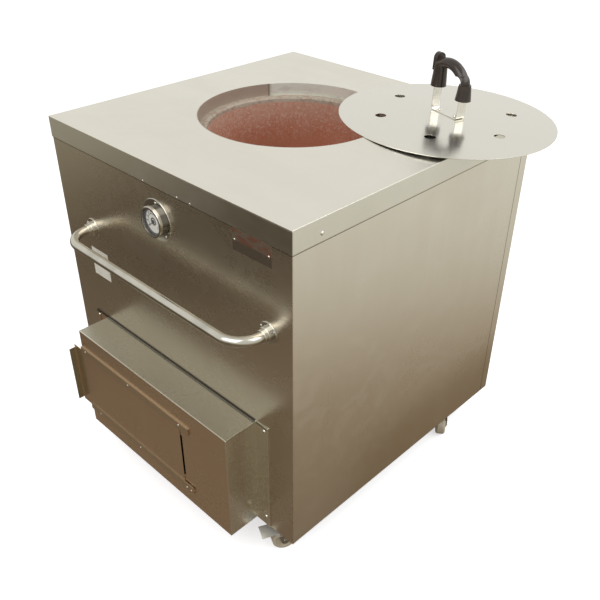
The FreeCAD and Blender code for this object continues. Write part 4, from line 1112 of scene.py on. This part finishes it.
@dataclass
class Gauge:
    """Dial thermometer."""

    bright: Finish = PolishedSteel("gauge_bright", (0.62, 0.60, 0.545), roughness=0.12)
    # The case's dark tint is painted shade, standing in for the shadows in the grooves between the bezel and the
    # flange.
    dull: Finish = PolishedSteel("gauge_painted_shade", (0.24, 0.225, 0.20), roughness=0.22)
    lens: Finish = LensGlass("lens_clear")
    pointer: Finish = Moulded("pointer_black", (0.02, 0.02, 0.02), (0.06, 0.06, 0.06), roughness=0.4)

    def build(self, nodes: Nodes) -> None:
        """Dress the thermometer from its dial outwards.

        Args:
            nodes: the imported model's nodes by name.
        """
        low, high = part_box("thermometer_dial")
        dress(nodes, GaugeFace("gauge_face", (low + high) / 2, (high.x - low.x) / 2), "thermometer_dial")
        dress(nodes, self.pointer, "thermometer_pointer")
        dress(nodes, self.lens, "thermometer_lens")
        dress(nodes, self.bright, "thermometer_flange", "thermometer_bezel")
        dress(nodes, self.dull, "thermometer_case", "thermometer_stem")


@dataclass
class Fittings:
    """Push bar, nameplate, screws and rivets, and the frame inside."""

    bar: Finish = PolishedSteel("bar_bright", (0.63, 0.61, 0.545), roughness=0.15)
    screw: Finish = PolishedSteel("screw_bright", (0.70, 0.67, 0.60), roughness=0.25)
    zinc: Finish = BrushedSteel("zinc_sheet", (0.52, 0.52, 0.50), (0.40, 0.39, 0.36), roughness=0.42,
                                grain=Grain.ROUND)
    paint: Finish = Moulded("frame_paint", (0.045, 0.043, 0.04), (0.11, 0.095, 0.08), roughness=0.55)

    def build(self, nodes: Nodes) -> None:
        """Dress the bar, the plate, the fasteners and the frame.

        Args:
            nodes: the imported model's nodes by name.
        """
        low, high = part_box("nameplate")
        dress(nodes, WornPlate("plate_worn", low.z, high.z), "nameplate")
        dress(nodes, self.bar, "push_bar", "bar_mount_left", "bar_mount_right")
        dress(nodes, self.screw, "rail_rivets", "casing_screws", "bar_screws", "nameplate_rivets",
              "thermometer_screws", "lid_screws")
        dress(nodes, self.zinc, "floor_pan", "air_duct", "caster_plates", "post_front_left", "post_front_right",
              "post_rear_left", "post_rear_right")
        dress(nodes, self.paint, "base_frame")


@dataclass
class Lid:
    """Loose lid with its strap and grip."""

    disc: Finish = BrushedSteel("lid_steel", (0.79, 0.775, 0.71), (0.76, 0.74, 0.67), roughness=0.15,
                                grain=Grain.ROUND, stain_amount=0.4, smears=0.02, bend=0.5 * MM)
    strap: Finish = PolishedSteel("strap_bright", (0.80, 0.78, 0.72), roughness=0.14)
    grip: Finish = Moulded("grip_bakelite", (0.026, 0.016, 0.011), (0.055, 0.038, 0.027), roughness=0.20,
                           coat=0.12)

    def build(self, nodes: Nodes) -> None:
        """Dress the lid.

        Args:
            nodes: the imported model's nodes by name.
        """
        dress(nodes, self.disc, "lid_disc")
        dress(nodes, self.strap, "lid_strap")
        dress(nodes, self.grip, "lid_grip")


@dataclass
class Casters:
    """Four swivel casters and the front pair's brake pedals."""

    corners: tuple[str, ...] = ("front_left", "front_right", "rear_left", "rear_right")
    wheel: Finish = Moulded("wheel_cream", (0.60, 0.53, 0.40), (0.36, 0.30, 0.22), roughness=0.6)
    fork: Finish = BrushedSteel("fork_zinc", (0.48, 0.46, 0.41), (0.30, 0.27, 0.22), roughness=0.36,
                                grain=Grain.ROUND)
    pedal: Finish = Moulded("pedal_bright", (0.78, 0.76, 0.69), (0.60, 0.57, 0.49), roughness=0.30,
                            metallic=0.35)

    def build(self, nodes: Nodes) -> None:
        """Dress the casters and the pedals.

        Args:
            nodes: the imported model's nodes by name.
        """
        for corner in self.corners:
            dress(nodes, self.wheel, "caster_wheel_" + corner)
            dress(nodes, self.fork, "caster_fork_" + corner, "caster_axle_" + corner)
        dress(nodes, self.pedal, "brake_pedal_left", "brake_pedal_right")


def main() -> None:
    """Build the view, the studio and every sub-assembly."""
    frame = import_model()
    cad_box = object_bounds()
    Viewpoint().build()
    Studio().build()
    for assembly in (Casing(), Hearth(), FireBox(), Gauge(), Fittings(), Lid(), Casters()):
        assembly.build(frame["nodes"])
    ({"cad": [list(corner) for corner in cad_box],
               "visual": [list(corner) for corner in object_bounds()]})


if __name__ == "__main__":
    main()
